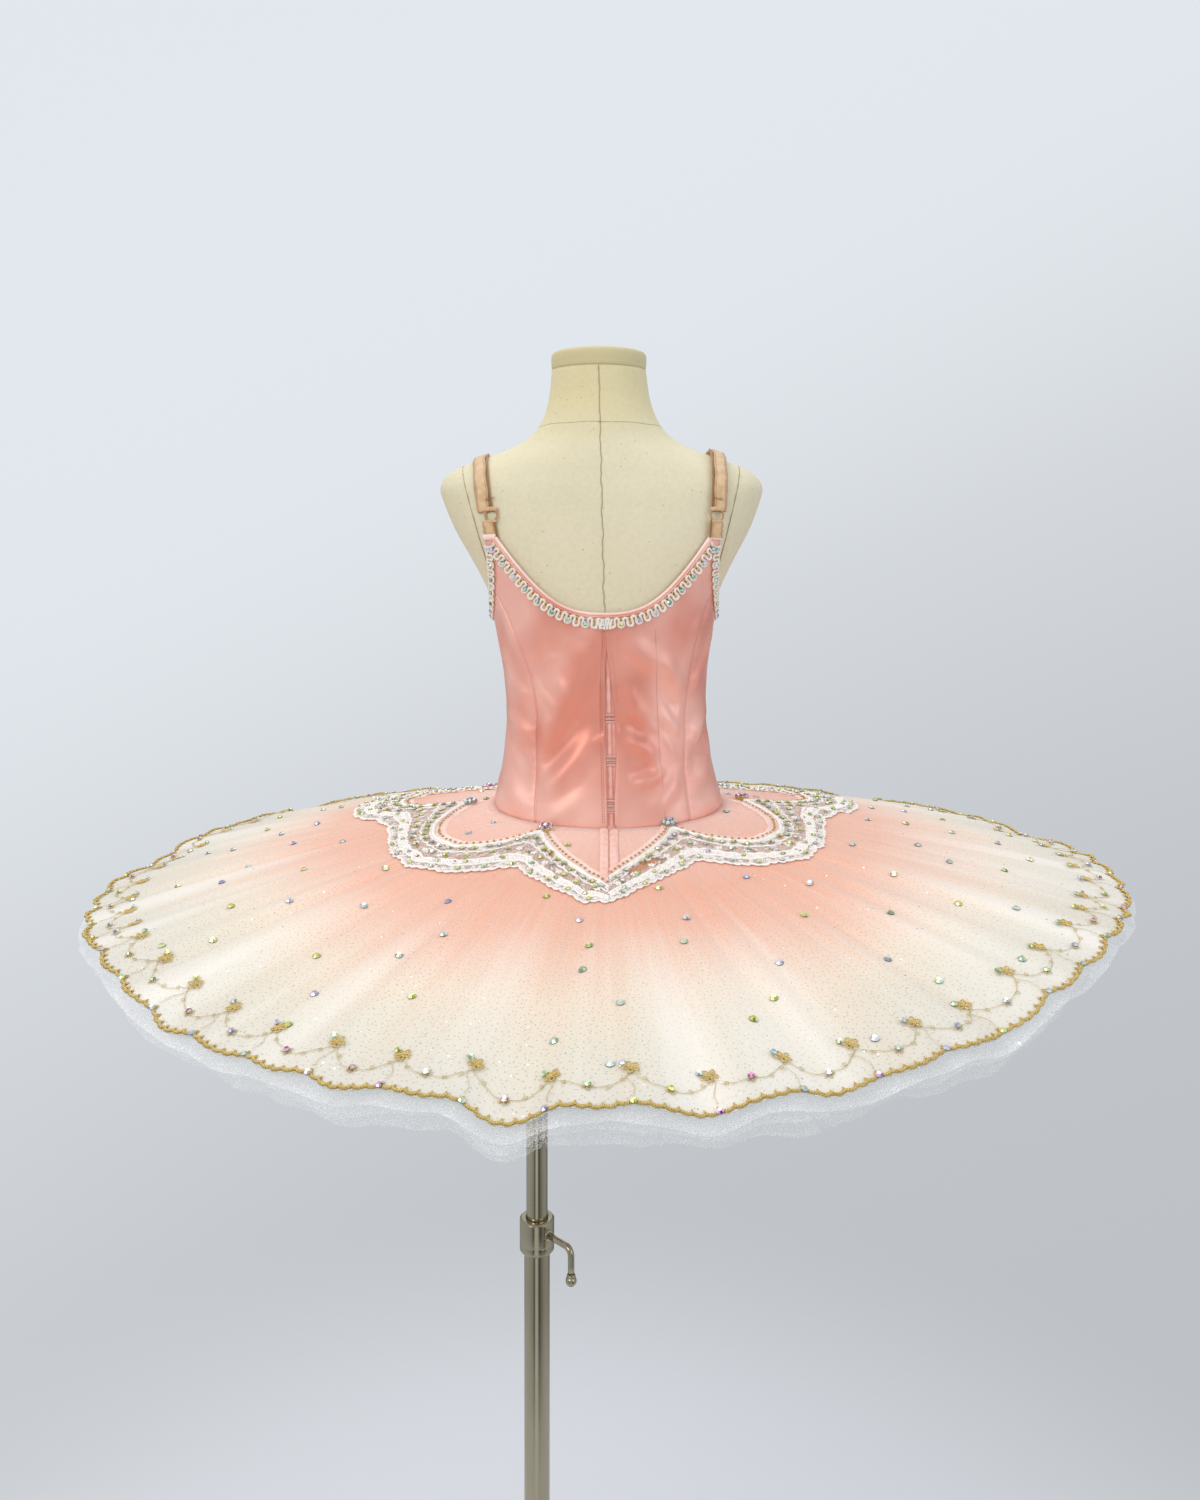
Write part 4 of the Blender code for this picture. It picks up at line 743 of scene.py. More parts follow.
LINEN = linen_material()
SATIN = satin_material("peach_satin", "eb9b88", "fdc5b6", 0.45)
PIPING = satin_material("pale_satin", "f8cabd", "ffe4da", 0.36, 0.05)
TULLE = tulle_material()
NET_COVERS = [net_material("glitter_net", "f4f6f8", 0.92, glitter=True),
              net_material("stiff_net", "f2f2f0", 0.97), net_material("soft_net", "f2f2f0", 0.988)]
LACE = lace_material()
LACE_CORD = thread_material("lace_cord", "f3eee8", "fffdf9", 0.65, painted_glow=0.16)
LACE_BORDER = net_material("lace_border", "fdf0e8", 0.55)
BRAID = thread_material("braid_cord", "e6dfcd", "fffcf4", 0.5, painted_glow=0.06)
GOLD = thread_material("gold_thread", "c79c3a", "f8e294", 0.42, 0.15, 1100.0)
BRAID_GOLD = thread_material("braid_gold_cord", "d9b45e", "f6e2a6", 0.45, 0.10, 1100.0, painted_glow=0.05)
GOLD_FINE = thread_material("fine_gold_thread", "ccb06c", "efe0ac", 0.50, 0.15, 1300.0)
DOT_GOLD = thread_material("dot_gold_thread", "a67f38", "d6b062", 0.45, 0.15, 1100.0)
# Dark tan for the sheet in the lace's wide gap: painted shadow.
LACE_GAP_SHADOW = plain_cloth_material("lace_gap_shadow_paint", "b97c50", "cd9066", 0.8)
ELASTIC = elastic_material()
# Darker tan for the strap's edges and stitches, and for the painted shadow under its folds at the rings.
ELASTIC_EDGE_AND_SHADE = thread_material("elastic_edge_and_shade", "8a5f32", "a8783f", 0.6, 0.0, 500.0)
RING = thread_material("ring_coat", "a97c4e", "c89e6c", 0.35, 0.0, 300.0)
COTTON = plain_cloth_material("pink_cotton", "e6a596", "f6c0b3")
STITCH = thread_material("pink_thread", "b8604f", "c97463", 0.6)
STITCH_PALE = thread_material("pale_thread", "e9a999", "f6c4b8", 0.6)
CRYSTAL = crystal_material()
CHROME = metal_material("chrome", "b3ac94", 0.12)
STEEL = metal_material("brushed_steel", "b4b4b2", 0.34, brushed=True)
# Darker linen for the form's seam lines: partly the seam, partly painted shade in the seam's groove.
SHADOW_THREAD = thread_material("linen_seam_and_shade", "aa9d77", "c2b792", 0.9)


# ---------------------------------------------------------------- small shapes
def stone_shape(sides=8):
    """Flat-backed faceted stone, one unit across."""
    a = circle(sides)
    rings = [np.stack([r * np.cos(a), r * np.sin(a), np.full(sides, z)], -1)
             for r, z in ((0.47, 0.0), (0.50, 0.10), (0.27, 0.33))]
    return np.concatenate(rings), {4: grid_faces(3, sides, closed=True),
                                   8: [list(range(2 * sides, 3 * sides))]}


def ball_shape(around=8, up=4, z_scale=1.0):
    lon = circle(around)
    rings = [np.stack([np.cos(t) * np.cos(lon), np.cos(t) * np.sin(lon),
                       np.full(around, np.sin(t) * z_scale)], -1)
             for t in np.pi * (np.arange(1, up) / up - 0.5)]
    verts = np.concatenate(rings + [[[0, 0, -z_scale], [0, 0, z_scale]]])
    n, top, j = len(verts), (up - 2) * around, np.arange(around)
    low = np.stack([np.full(around, n - 2), (j + 1) % around, j], -1)
    high = np.stack([np.full(around, n - 1), top + j, top + (j + 1) % around], -1)
    return verts, {4: grid_faces(up - 1, around, closed=True), 3: np.vstack([low, high])}


def star_shape(points=5):
    """Short gold stitches radiating from a centre."""
    bar = np.array([(0.10, 0.10, 0), (1.0, 0.10, 0), (1.0, -0.10, 0), (0.10, -0.10, 0),
                    (0.10, 0.05, 0.22), (0.95, 0.05, 0.16), (0.95, -0.05, 0.16), (0.10, -0.05, 0.22)])
    c, s = np.cos(circle(points))[:, None], np.sin(circle(points))[:, None]
    x, y, z = bar.T
    verts = np.stack([x * c - y * s, x * s + y * c, z + 0 * c], -1).reshape(-1, 3)
    box = np.array([(3, 2, 1, 0), (4, 5, 6, 7), (0, 1, 5, 4), (1, 2, 6, 5), (2, 3, 7, 6), (3, 0, 4, 7)])
    return verts, {4: (box + 8 * np.arange(points)[:, None, None]).reshape(-1, 4)}


STONE, BALL, BALL_FLAT, STAR = stone_shape(), ball_shape(), ball_shape(z_scale=0.42), star_shape()
PETAL = ball_shape(6, 3, 0.42)
LEAF = (PETAL[0] * np.array([1.0, 0.60, 1.1]), PETAL[1])
PALETTES = {
    "citrine": ("dfe84a", "eef6a0", "8f9a2c", "b5c440", "e8f07a", "f3f8d2", "c8d24a"),
    "ice": ("eef7f4", "d6e6ea", "8fa0a8", "c6d8d0", "b4c4ae", "f6f8fb", "cfe0b4"),
    "lilac": ("cfc8f2", "e6e2f8", "8f8cc0", "b4c8de", "a4b0c8", "efeffa", "b4dcc0"),
    "mint": ("b4e4a4", "dff4c8", "7fa07a", "a0cdbc", "9fb47a", "f0f8ec", "d8e478"),
    "peacock": ("6fc09c", "b8e8cc", "2e6a78", "7f96dc", "4a8a6c", "eefaf2", "c0d860"),
    "rose": ("d8489c", "f2c0e2", "8a2a8e", "c0a8e4", "7a3c86", "f8e0f2", "c6cc62"),
}
PALETTES = {name: np.array([colour(c) for c in codes]) for name, codes in PALETTES.items()}


def add_stones(pile, at, x_axis, normal, size, kinds):
    """Stones whose facets each take a colour from their kind's palette; the first two are for the table."""
    count, sides, each = len(at), 8, np.arange(len(at))
    palette = np.stack([PALETTES[kind] for kind in kinds])
    table = palette[each, rng.integers(0, 2, count)]
    crown = palette[each[:, None], rng.integers(1, 7, (count, sides))]
    edge = np.broadcast_to(palette[:, None, 2] * np.array([0.42, 0.42, 0.42, 1.0]), crown.shape)
    pile.place(STONE, at, x_axis, normal, size, spin=rng.random(count) * 6.28,
               tints={4: np.concatenate([edge, crown], 1).reshape(-1, 4), 8: table})


def pick(count, **weights):
    names, share = list(weights), np.array(list(weights.values()), float)
    return [names[i] for i in rng.choice(len(names), count, p=share / share.sum())]


# ---------------------------------------------------------------- dress form
def arm_seam_gap(points):
    """How far a point lies outside the seam of the arm end plates."""
    return np.abs(points[..., 0] - axis_x(points[..., 2])) - (0.105 + 0.265 * (points[..., 2] - 1.256))


def make_form_cover():
    rows, columns = 130, 160
    z = 0.935 + 0.500 * np.linspace(0, 1, rows)[:, None]
    psi = np.linspace(0, 360, columns, endpoint=False)[None, :]
    base = form_surface(psi, z)
    gap = arm_seam_gap(base)
    plates = 0.0007 * bell((gap - 0.005) / 0.004) - 0.0009 * bell(gap / 0.0022)
    plates *= smooth((base[..., 2] - 1.20) / 0.03)
    centre = np.minimum(np.abs(wrap(psi)), np.abs(wrap(psi - 180.0))) * 0.0014
    pucker = 0.0003 * np.cos(z * 780.0 + 2 * np.sin(z * 130.0)) * bell(centre / 0.006)
    points = base + form_normal(psi, z) * (plates - 0.0006 * bell(centre / 0.0020) + pucker)[..., None]
    ends = np.arange(columns)
    mesh = raw_mesh("form_cover", points, [grid_faces(rows, columns, closed=True)[:, ::-1],
                                           np.stack([ends, (rows - 1) * columns + ends[::-1]])])
    piece("form_cover", mesh, LINEN, ["form_torso"])


def make_form_seams():
    """Seams at centre back and front, round the neck and round the arm ends, drawn as sunken tubes of darker
    linen: partly the seam itself, partly painted shade in its groove.
    """
    seams = Pile()

    def seam(psi, z, radius=0.00042):
        seams.tube(form_point(psi, z, -0.0002), form_normal(psi, z), radius, sides=5)

    z, turn = np.linspace(1.19, 1.4345, 150), np.linspace(0, 360, 220)
    seam(0.35 * np.sin(z * 190) + 0.25 * np.sin(z * 470), z)
    seam(180 + 0.2 * np.sin(z * 150), z)
    seam(turn, 1.3805 + 0.0012 * np.cos(np.radians(turn)) + 0.0003 * np.sin(np.radians(turn * 9)))
    z = np.linspace(1.215, 1.349, 90)
    for side in (1, -1):
        for near, far in ((20.0, 89.0), (91.0, 160.0)):
            found, _ = halve(lambda psi: (arm_seam_gap(form_surface(psi, z)) > 0) != (near < 90.0),
                             np.full(90, near), np.full(90, far))
            seam(side * found, z, 0.00048)
    seams.make("form_seams", SHADOW_THREAD, "linen")


def make_neck_cap():
    cap, (top_z, r, _, _, centre_y, _) = Pile(), FORM_SECTIONS[-1]
    profile = [(0.0005, 1.4535), (0.020, 1.4534), (0.034, 1.4530), (r - 0.004, 1.4524), (r - 0.0012, 1.4512),
               (r + 0.0003, 1.4488), (r + 0.0005, 1.4450), (r + 0.0003, 1.4390), (r - 0.0003, 1.4366),
               (r - 0.0014, 1.4354), (0.0005, 1.4353)]
    lathe(cap, profile, 96, (axis_x(top_z), centre_y))
    cap.make("neck_cap_cover", LINEN, "linen", ["form_neck_cap"])


def make_frayed_thread():
    """Short loose threads at the form's shoulder."""
    fray = Pile()
    reach = np.linspace(0, 1, 6)[:, None]
    for _ in range(7):
        psi = -84.0 - 3.0 * rng.random()
        start = form_point(psi, 1.330 + 0.004 * rng.random())
        way = np.array([-1.0, 0.5 * rng.standard_normal(), 0.9 * rng.standard_normal()])
        path = start + reach * way * (0.002 + 0.003 * rng.random()) + np.array([0, 0, -0.003]) * reach ** 2
        fray.tube(path, np.tile([0.0, 1.0, 0.0], (6, 1)), 0.00022, sides=4)
    fray.make("frayed_thread", LACE_CORD, "linen")


# ---------------------------------------------------------------- bodice
# A fold's ends as angle and height, then its half width and its height above the cloth.
SATIN_FOLDS = list(np.array([
    (52, 1070, 4, 1186, 17, 3.4), (46, 1058, 7, 1130, 11.5, -2), (48, 1036, 4, 1104, 14, 3.2),
    (42, 1020, 6, 1060, 12, 1.2), (52, 1150, 20, 1190, 11, -1.6), (30, 1204, 6, 1180, 11, -1.4),
    (-11, 1102, -33, 1080, 7, 3), (-11, 1118, -32, 1097, 7, -2.4), (-11, 1066, -32, 1077, 6, -2),
    (-13, 1058, -38, 1070, 7, 2.4), (-20, 1030, -49, 1072, 9.5, 3), (-32, 1176, -51, 1136, 8, 2.6),
    (-33, 1126, -50, 1096, 8, 2.6), (-30, 1150, -48, 1118, 7, -2.2), (-8, 1190, -38, 1158, 12, 2.2),
    (-10, 1150, -26, 1110, 9, 1.8), (64, 1238, 53, 1170, 7.5, 2.8), (72, 1156, 46, 1128, 8.5, 2.8),
    (80, 1126, 45, 1094, 10, 4), (78, 1100, 46, 1070, 7, -2.6), (82, 1082, 44, 1028, 11, 3.6),
    (92, 1062, 58, 1024, 8, 2.4), (78, 1196, 60, 1150, 8, 2.2), (-66, 1220, -52, 1186, 7.5, 2.6),
    (-74, 1176, -53, 1138, 8, 2.8), (-86, 1128, -51, 1094, 9.5, 3.8), (-86, 1110, -50, 1074, 7, -2.6),
    (-88, 1100, -48, 1046, 9.5, 3.4), (-90, 1066, -48, 1026, 9, 2.8), (-80, 1200, -64, 1160, 8, 2),
    (148, 1058, 186, 1110, 12, 2.6), (-144, 1096, -172, 1150, 11, 2.2), (158, 1120, 192, 1176, 10, 1.8),
    (-150, 1044, -178, 1066, 10, 2.2), (152, 1084, 180, 1128, 8, -1.6),
    (-148, 1150, -168, 1196, 10, 1.4), (140, 1026, 162, 1072, 10, 2), (-140, 1070, -160, 1030, 10, 2),
    (102, 1076, 138, 1028, 10, 3.4), (-104, 1072, -140, 1026, 10, 3.4), (104, 1118, 138, 1084, 9, 3.4),
    (-102, 1116, -137, 1080, 9, 3.4), (106, 1100, 136, 1060, 6.5, -2.4),
    (-106, 1098, -136, 1056, 6.5, -2.4), (110, 1172, 134, 1126, 8, 2.6),
    (-108, 1170, -133, 1122, 8, 2.6), (112, 1206, 128, 1170, 7, 1.8), (-112, 1204, -128, 1166, 7, 1.8),
]) / [1, MM, 1, MM, MM, MM])
for _ in range(60):
    start, rise = rng.uniform(-180, 180), rng.choice([-1, 1]) * rng.uniform(0.008, 0.030)
    height = rng.normal(1.105, 0.045)
    SATIN_FOLDS.append((start, height, start + rng.choice([-1, 1]) * rng.uniform(8, 18), height + rise,
                        rng.uniform(0.0040, 0.0075), rng.uniform(0.0004, 0.0011)))


def satin_lift(psi, z, radius=0.085):
    total = 0.0
    for psi_low, z_low, psi_high, z_high, half_width, height in SATIN_FOLDS:
        du, dz = np.radians(psi_high - psi_low) * radius, z_high - z_low
        u, v = np.radians(wrap(psi - psi_low)) * radius, z - z_low
        share = (u * du + v * dz) / (du * du + dz * dz)
        away = np.hypot(u - du * share, v - dz * share) / (1.3 * half_width)
        total = total + height * smooth(share * 2.6) * smooth((1 - share) * 2.6) * hump(away)
    return total


def panel(name, edges, top, columns, rows, side, flap=False):
    """One satin panel between two seams, from the hem to the top edge."""
    half = math.degrees(0.00004 / 0.09)
    across = np.linspace(0, 1, columns + 1)

    def edge_psi(z):
        first, second = edges[0](z) + half, edges[1](z) - half
        return first + (second - first) * across

    base = hip_z(edge_psi(np.full(across.shape, 1.025))) - 0.0012
    _, high = halve(lambda z: top(edge_psi(z)) > z + 0.00001, np.full(across.shape, 1.15),
                    np.full(across.shape, 1.28))
    z = base + (high - base) * np.linspace(0, 1, rows + 1)[:, None]
    psi = side * edge_psi(z)
    metres = np.abs(edges[1](z) - edges[0](z)) * math.pi / 180 * 0.088
    from_first, from_second = across * metres, (1 - across) * metres
    nearest = from_second if flap else np.minimum(from_first, from_second)
    seam = -0.0005 * bell(nearest / 0.0012) - 0.0004 * bell(nearest / 0.0045)
    pucker = 0.00042 * np.sin(z * 760 + 3 * np.sin(z * 95)) * np.exp(-nearest / 0.006)
    pucker *= smooth(nearest / 0.0015)
    calm = 1.25 - 0.80 * bell((np.abs(wrap(psi)) - 86.0) / 17.0)
    lift = (CLOTH + satin_lift(psi, z) * calm * smooth(nearest / 0.012 + 0.12) + seam + pucker
            - 0.0004 * bell((z - base) / 0.003) + flap * 0.0007 * bell(from_first / 0.0022))
    points = form_point(psi, z, lift)
    obj = cloth("satin_" + name, points, SATIN, 0.0011, "satin", ["bodice_" + name],
                uvs=np.stack([from_first, z], -1), flip=side > 0)


def make_bodice():
    def side_line(z):
        return np.full(np.shape(z), SIDE_SEAM)

    joins, lines = Pile(), {}
    for word, side in (("left", 1.0), ("right", -1.0)):
        def opening(z, left=side > 0):
            return back_edge(z, left)

        def princess(z, left=side > 0):
            return back_princess(z, left)

        panel("back_" + word, (opening, princess), neckline_z, 48, 96, side, flap=True)
        panel("side_back_" + word, (princess, side_line), armhole_z, 34, 90, side)
        panel("side_front_" + word, (side_line, front_princess), armhole_z, 34, 90, side)
        lines[side] = (princess, front_princess, side_line)
    for side in (1.0, -1.0):
        for line in lines[side]:
            z = np.linspace(1.0262, 1.215, 110)
            psi = side * line(z)
            below = z < armhole_z(psi) - 0.0008
            joins.tube(form_point(psi[below], z[below], CLOTH - 0.0010), form_normal(psi[below], z[below]),
                       0.0006)
    joins.make("seam_allowances", SATIN, "satin")
    panel("front", (front_princess, lambda z: 360.0 - front_princess(z)), neckline_z, 64, 84, 1.0)


def surface_route(psi, z, lift):
    """A route on the bodice, with the way across it pointing down the cloth."""
    points, normals = form_point(psi, z, lift), form_normal(psi, z)
    across = np.cross(unit(np.gradient(points, axis=0)), normals)
    return Route(points, across * np.where(across[:, 2:3] > 0, -1.0, 1.0), normals)


def dashes(pile, path, length, gap, width, thick=0.00035):
    """Running stitches along a route."""
    s = np.arange(0.001, path.length - length, length + gap)
    here, ahead = path.at(s), path.at(s + length)
    shape = (np.array([[x, y, z] for x in (-0.5, 0.5) for y in (-0.5, 0.5) for z in (0.0, 1.0)], float)
             * np.array([length, width, thick]),
             {4: [[0, 1, 3, 2], [4, 6, 7, 5], [0, 4, 5, 1], [2, 3, 7, 6], [1, 5, 7, 3], [0, 2, 6, 4]]})
    pile.place(shape, (here + ahead) / 2, ahead - here, path.normal(s + length / 2), 1.0)


def back_line(x_of_z, low, high, lift):
    z = np.linspace(low, high, 160)
    return surface_route(np.degrees(np.arctan2(x_of_z(z), form_at(z)[..., 1])), z, lift)


def make_closure():
    """The hook-and-bar tape in the opening, its stitching, bars and rounded end, and the flap's edge."""
    low, high = 1.0195, 1.200
    z, across = np.linspace(low, high, 90)[:, None], np.linspace(-1, 1, 15)[None, :]
    half = 0.0102 * np.where(z < low + 0.006, np.sqrt(np.clip((z - low) / 0.006, 0.0, 1.0)) * 0.35 + 0.65,
                             1.0)
    psi = np.degrees((-0.003 + half * across) / form_at(z)[..., 1])
    lift = 0.0027 + 0.00030 * np.cos(z * 2 * math.pi / 0.0125) * (1 - across ** 2)
    lift = lift + 0.0002 * np.cos(across * 9)
    tape = cloth("bar_tape", form_point(psi, z, lift), COTTON, 0.0008, "cotton", ["closure_tape"], flip=True)

    stitches = Pile()
    for x in (-0.0002, -0.0042):
        dashes(stitches, back_line(lambda z: x + 0 * z, 1.026, 1.180, 0.0031), 0.0013, 0.0010, 0.00055,
               0.0005)
    for aside in (0.0018, 0.0034):
        dashes(stitches, back_line(lambda z: opening_at(z)[..., 0] + aside, 1.028, 1.196, CLOTH + 0.0004),
               0.0013, 0.0011, 0.0004, 0.0003)
    stitches.make("closure_stitches", STITCH, "satin")

    channel = Pile()
    bone_x = curve(np.array([(1.030, -0.0528), (1.070, -0.0505), (1.110, -0.0490), (1.150, -0.0478),
                             (1.198, -0.0465)]))
    z = np.arange(1.032, 1.196, 0.0024)
    psi = np.degrees(np.arctan2(bone_x(z)[..., 0], form_at(z)[..., 1]))
    at = form_point(psi, z, CLOTH + satin_lift(psi, z) + 0.00010)
    channel.place(BALL, at, np.tile([0.0, 0.0, 1.0], (len(at), 1)), form_normal(psi, z), 0.00048)
    channel.make("bone_channel_stitches", STITCH, "satin")

    bars = Pile()
    for centre, tall in ((1.1188, 0.0085), (1.0815, 0.0090), (1.0430, 0.0120)):
        for turn in np.linspace(-tall / 2, tall / 2, int(tall / 0.0011)):
            z = np.full(9, centre + turn) + 0.0003 * rng.standard_normal()
            psi = np.degrees(np.linspace(-0.0078, 0.0014, 9) / form_at(z)[..., 1])
            bars.tube(form_point(psi, z, 0.0032 + 0.0006 * np.cos(np.linspace(-1.5, 1.5, 9))),
                      form_normal(psi, z), 0.00055, sides=5)
    bars.make("thread_bars", STITCH_PALE, "cotton")

    edge = Pile()
    for side, radius in ((1, 0.0008), (-1, 0.0011)):
        z = np.linspace(1.0262, 1.2095, 120)
        psi = back_edge(z, side > 0) * side
        edge.tube(form_point(psi, z, CLOTH - 0.0004), form_normal(psi, z), radius, sides=8)
    edge.make("closure_edges", SATIN, "satin")


# ---------------------------------------------------------------- braid, piping and straps
def serpentine(white, gold, stones, route, tall, period):
    """White cord looping to and fro along a route; every other loop holds a stone, the rest gold cord."""
    turns = 2 * int(round(route.length / period / 2)) + 1
    period = route.length / turns
    t = np.linspace(0, 2 * np.pi * turns, turns * 20 + 1)
    s = t / (2 * np.pi) * period + period * (0.125 * np.sin(2 * t) - 0.035 * np.sin(t))
    wobble = 1.0 + 0.06 * np.sin(s * 510.0)
    white.tube(route.at(s, -tall / 2 * np.cos(t) * wobble, 0.0013 + 0.0003 * np.sin(2 * t + 0.6)),
               route.normal(s), 0.00118, flat=0.85)
    loops = (np.arange(turns) + 0.5) * period
    u = np.linspace(-1, 1, 11)
    for low in loops[1::2]:
        s = low + u * period * 0.20
        for deep, lift in ((0.26, 0.0009), (0.08, 0.0014)):
            gold.tube(route.at(s, tall * (deep - 0.50 * u ** 2), lift), route.normal(s), 0.00045, sides=5)
    s = np.arange(0.0, route.length, 0.0013)
    gold.tube(route.at(s, -tall * 0.44 + 0.0005 * np.sin(s * 1400), 0.0006), route.normal(s), 0.00060,
              sides=5)
    at, ahead = (route.at(loops[::2] + step, tall * 0.10, 0.0021) for step in (0.0, 0.001))
    stones.append((at, ahead - at, route.normal(loops[::2])))


def extended(line, inset, tips, lift):
    """A route beside a line, going on to a tip (psi, z) at either end."""
    points = line.points + line.across * inset
    parts = [[points], [line.across], [line.normals]]
    for index, (psi, z) in enumerate(tips):
        order = -1 if index else 0
        tip = form_point(psi, z, lift)
        way = points[order] + (tip - points[order]) * np.linspace(0.0, 1.0, 6)[1:, None]
        normal = np.broadcast_to(form_normal(psi, z), way.shape)
        along = unit(tip - points[order]) * (1.0 if index else -1.0)
        across = np.cross(along, normal)
        across *= np.sign(np.sum(across * line.across[order], axis=1, keepdims=True))
        for part, extra in zip(parts, (way, across, normal)):
            part[:] = [part[0], extra] if index else [extra[::-1], part[0]]
            part[:] = [np.concatenate(part)]
    return Route(parts[0][0], parts[1][0], parts[2][0])


def make_trims():
    white, gold, pipes, deep = Pile(), Pile(), Pile(), Pile()
    stones, routes = [], []
    lift = CLOTH + 0.0003
    for middle, half in ((0.0, NECK_BACK_HALF), (180.0, NECK_FRONT_HALF)):
        psi = middle + np.linspace(-1.0, 1.0, 420) * (half - 3.4)
        line = surface_route(psi, neckline_z(psi), lift)
        corner = half + 2.0 if middle == 0.0 else half + 3.6
        tips = ((middle - corner, 1.2712), (middle + corner, 1.2712))
        routes.append((extended(line, 0.0076, tips, lift), 0.0078, 0.0081))
        psi = middle + np.linspace(-1.0, 1.0, 280) * (half - 0.05)
        edge = surface_route(psi, neckline_z(psi), BODICE_GAP + WALL / 2 + 0.0003)
        swell = smooth(np.abs(np.linspace(-1, 1, 280)) * 8 - 7)
        pipes.tube(edge.points - edge.across * 0.0002, edge.normals, 0.00135 + 0.0003 * swell, sides=10)
        deep.tube(edge.points + edge.across * 0.0022 + edge.normals * 0.0007, edge.normals,
                  0.00105 + 0.0004 * swell, sides=9)
    turn = np.linspace(0.09, np.pi - 0.09, 200)
    for side in (1, -1):
        psi = side * (ARMHOLE_CENTRE - ARMHOLE_HALF * np.cos(turn))
        line = surface_route(psi, STRAP_CORNER_Z - ARMHOLE_DEPTH * np.sin(turn), lift)
        routes.append((Route(line.points + line.across * 0.0052, line.across, line.normals), 0.0066, 0.0074))
        pipes.tube(line.points - line.across * 0.0004 - line.normals * 0.0006, line.normals, 0.0010, sides=9)
        for first, last in ((NECK_BACK_HALF, ARMHOLE_CENTRE - ARMHOLE_HALF),
                            (ARMHOLE_CENTRE + ARMHOLE_HALF, 180.0 - NECK_FRONT_HALF)):
            psi = side * np.linspace(first - 0.3, last + 0.3, 14)
            pipes.tube(form_point(psi, STRAP_CORNER_Z + 0.0006, CLOTH), form_normal(psi, STRAP_CORNER_Z),
                       0.0026, sides=12, flat=0.60)
    for route, tall, period in routes:
        serpentine(white, gold, stones, route, tall, period)
    middle, t = routes[0][0], np.linspace(0.0, 1.0, 90)
    for start, stop, turns, raised in ((-0.0070, 0.0016, 3.5, 0.0023), (0.0010, 0.0062, 1.5, 0.0030)):
        s = middle.length / 2 + start + (stop - start) * (t - 0.05 * np.sin(t * turns * 4 * np.pi))
        white.tube(middle.at(s, 0.0006 - 0.0042 * np.cos(t * turns * 2 * np.pi), raised), middle.normal(s),
                   0.00100, sides=8, flat=0.85)
    gems = Pile()
    for at, ahead, normal in stones:
        add_stones(gems, at, ahead, normal, 0.0046, pick(len(at), citrine=2, ice=1, lilac=3, peacock=6))
    white.make("braid_loops", BRAID, "braid", ["neck_braid_back", "neck_braid_front", "armhole_braid_left",
                                               "armhole_braid_right"])
    gold.make("braid_gold", BRAID_GOLD, "braid")
    pipes.make("neck_piping", PIPING, "piping", ["neck_piping_back", "neck_piping_front"])
    deep.make("neck_piping_lower", SATIN, "satin")
    gems.make("braid_stones", CRYSTAL, "braid", is_smooth=False)


def shoulder_points(x_from_axis, angle, lift):
    """On the form in a plane across the shoulder: angle 0 is straight back, 90 up, 180 forward."""
    x_from_axis, angle, lift = arrays(x_from_axis, angle, lift)
    dz, dy = sin_cos(angle)

    def inside(reach):
        y, z = dy * reach, 1.270 + dz * reach
        half, back, front, centre, square = np.moveaxis(form_at(z), -1, 0)
        beside = np.abs(x_from_axis) - axis_x(z) + TORSO_X
        return (np.abs(beside / half) ** square
                + np.abs((y - centre) / np.where(y >= centre, back, front)) ** square < 1.0) & (z < 1.36)
    low, _ = halve(inside, np.zeros(angle.shape), np.full(angle.shape, 0.12), 28)
    return np.stack([TORSO_X + x_from_axis, dy * (low + lift), 1.270 + dz * (low + lift)], -1)


def strap_x(line, angle):
    end = np.where(angle < 90.0, line.back, line.front)
    return end + (line.top - end) * np.sin(np.radians(angle))


def angle_at(x_from_axis, z, front=False):
    low, high = (90.0, 185.0) if front else (-10.0, 90.0)
    low, high = halve(lambda angle: (shoulder_points(x_from_axis, angle, 0.0)[..., 2] > z) == front,
                      low, high, 28)
    return float(low + high) / 2


def strap_band(name, line, side, start, stop, lift, widths, stands_for=(), shift=0.0, rows=90):
    """An elastic band with a rounded section, from one shoulder angle to another."""
    angle, share = np.linspace(start, stop, rows)[:, None], np.linspace(0, 1, rows)[:, None]
    across = np.linspace(-1, 1, 9)[None, :]
    width = np.interp(share, *zip(*widths))
    x = side * (strap_x(line, angle) + shift + 0.0004 * np.sin(share * 19) + across * width / 2)
    crown = 0.00025 * (1 - across ** 2) + 0.00012 * np.sin(share * 40)
    points = shoulder_points(x, angle, lift + STRAP_THICK + crown)
    along = lengths(points[:, 4])
    uvs = np.stack(np.broadcast_arrays((across + 1) / 2, along[:, None]), -1)
    obj = cloth(name, points, ELASTIC, STRAP_THICK * 0.85, "elastic", stands_for, uvs=uvs, flip=side > 0)


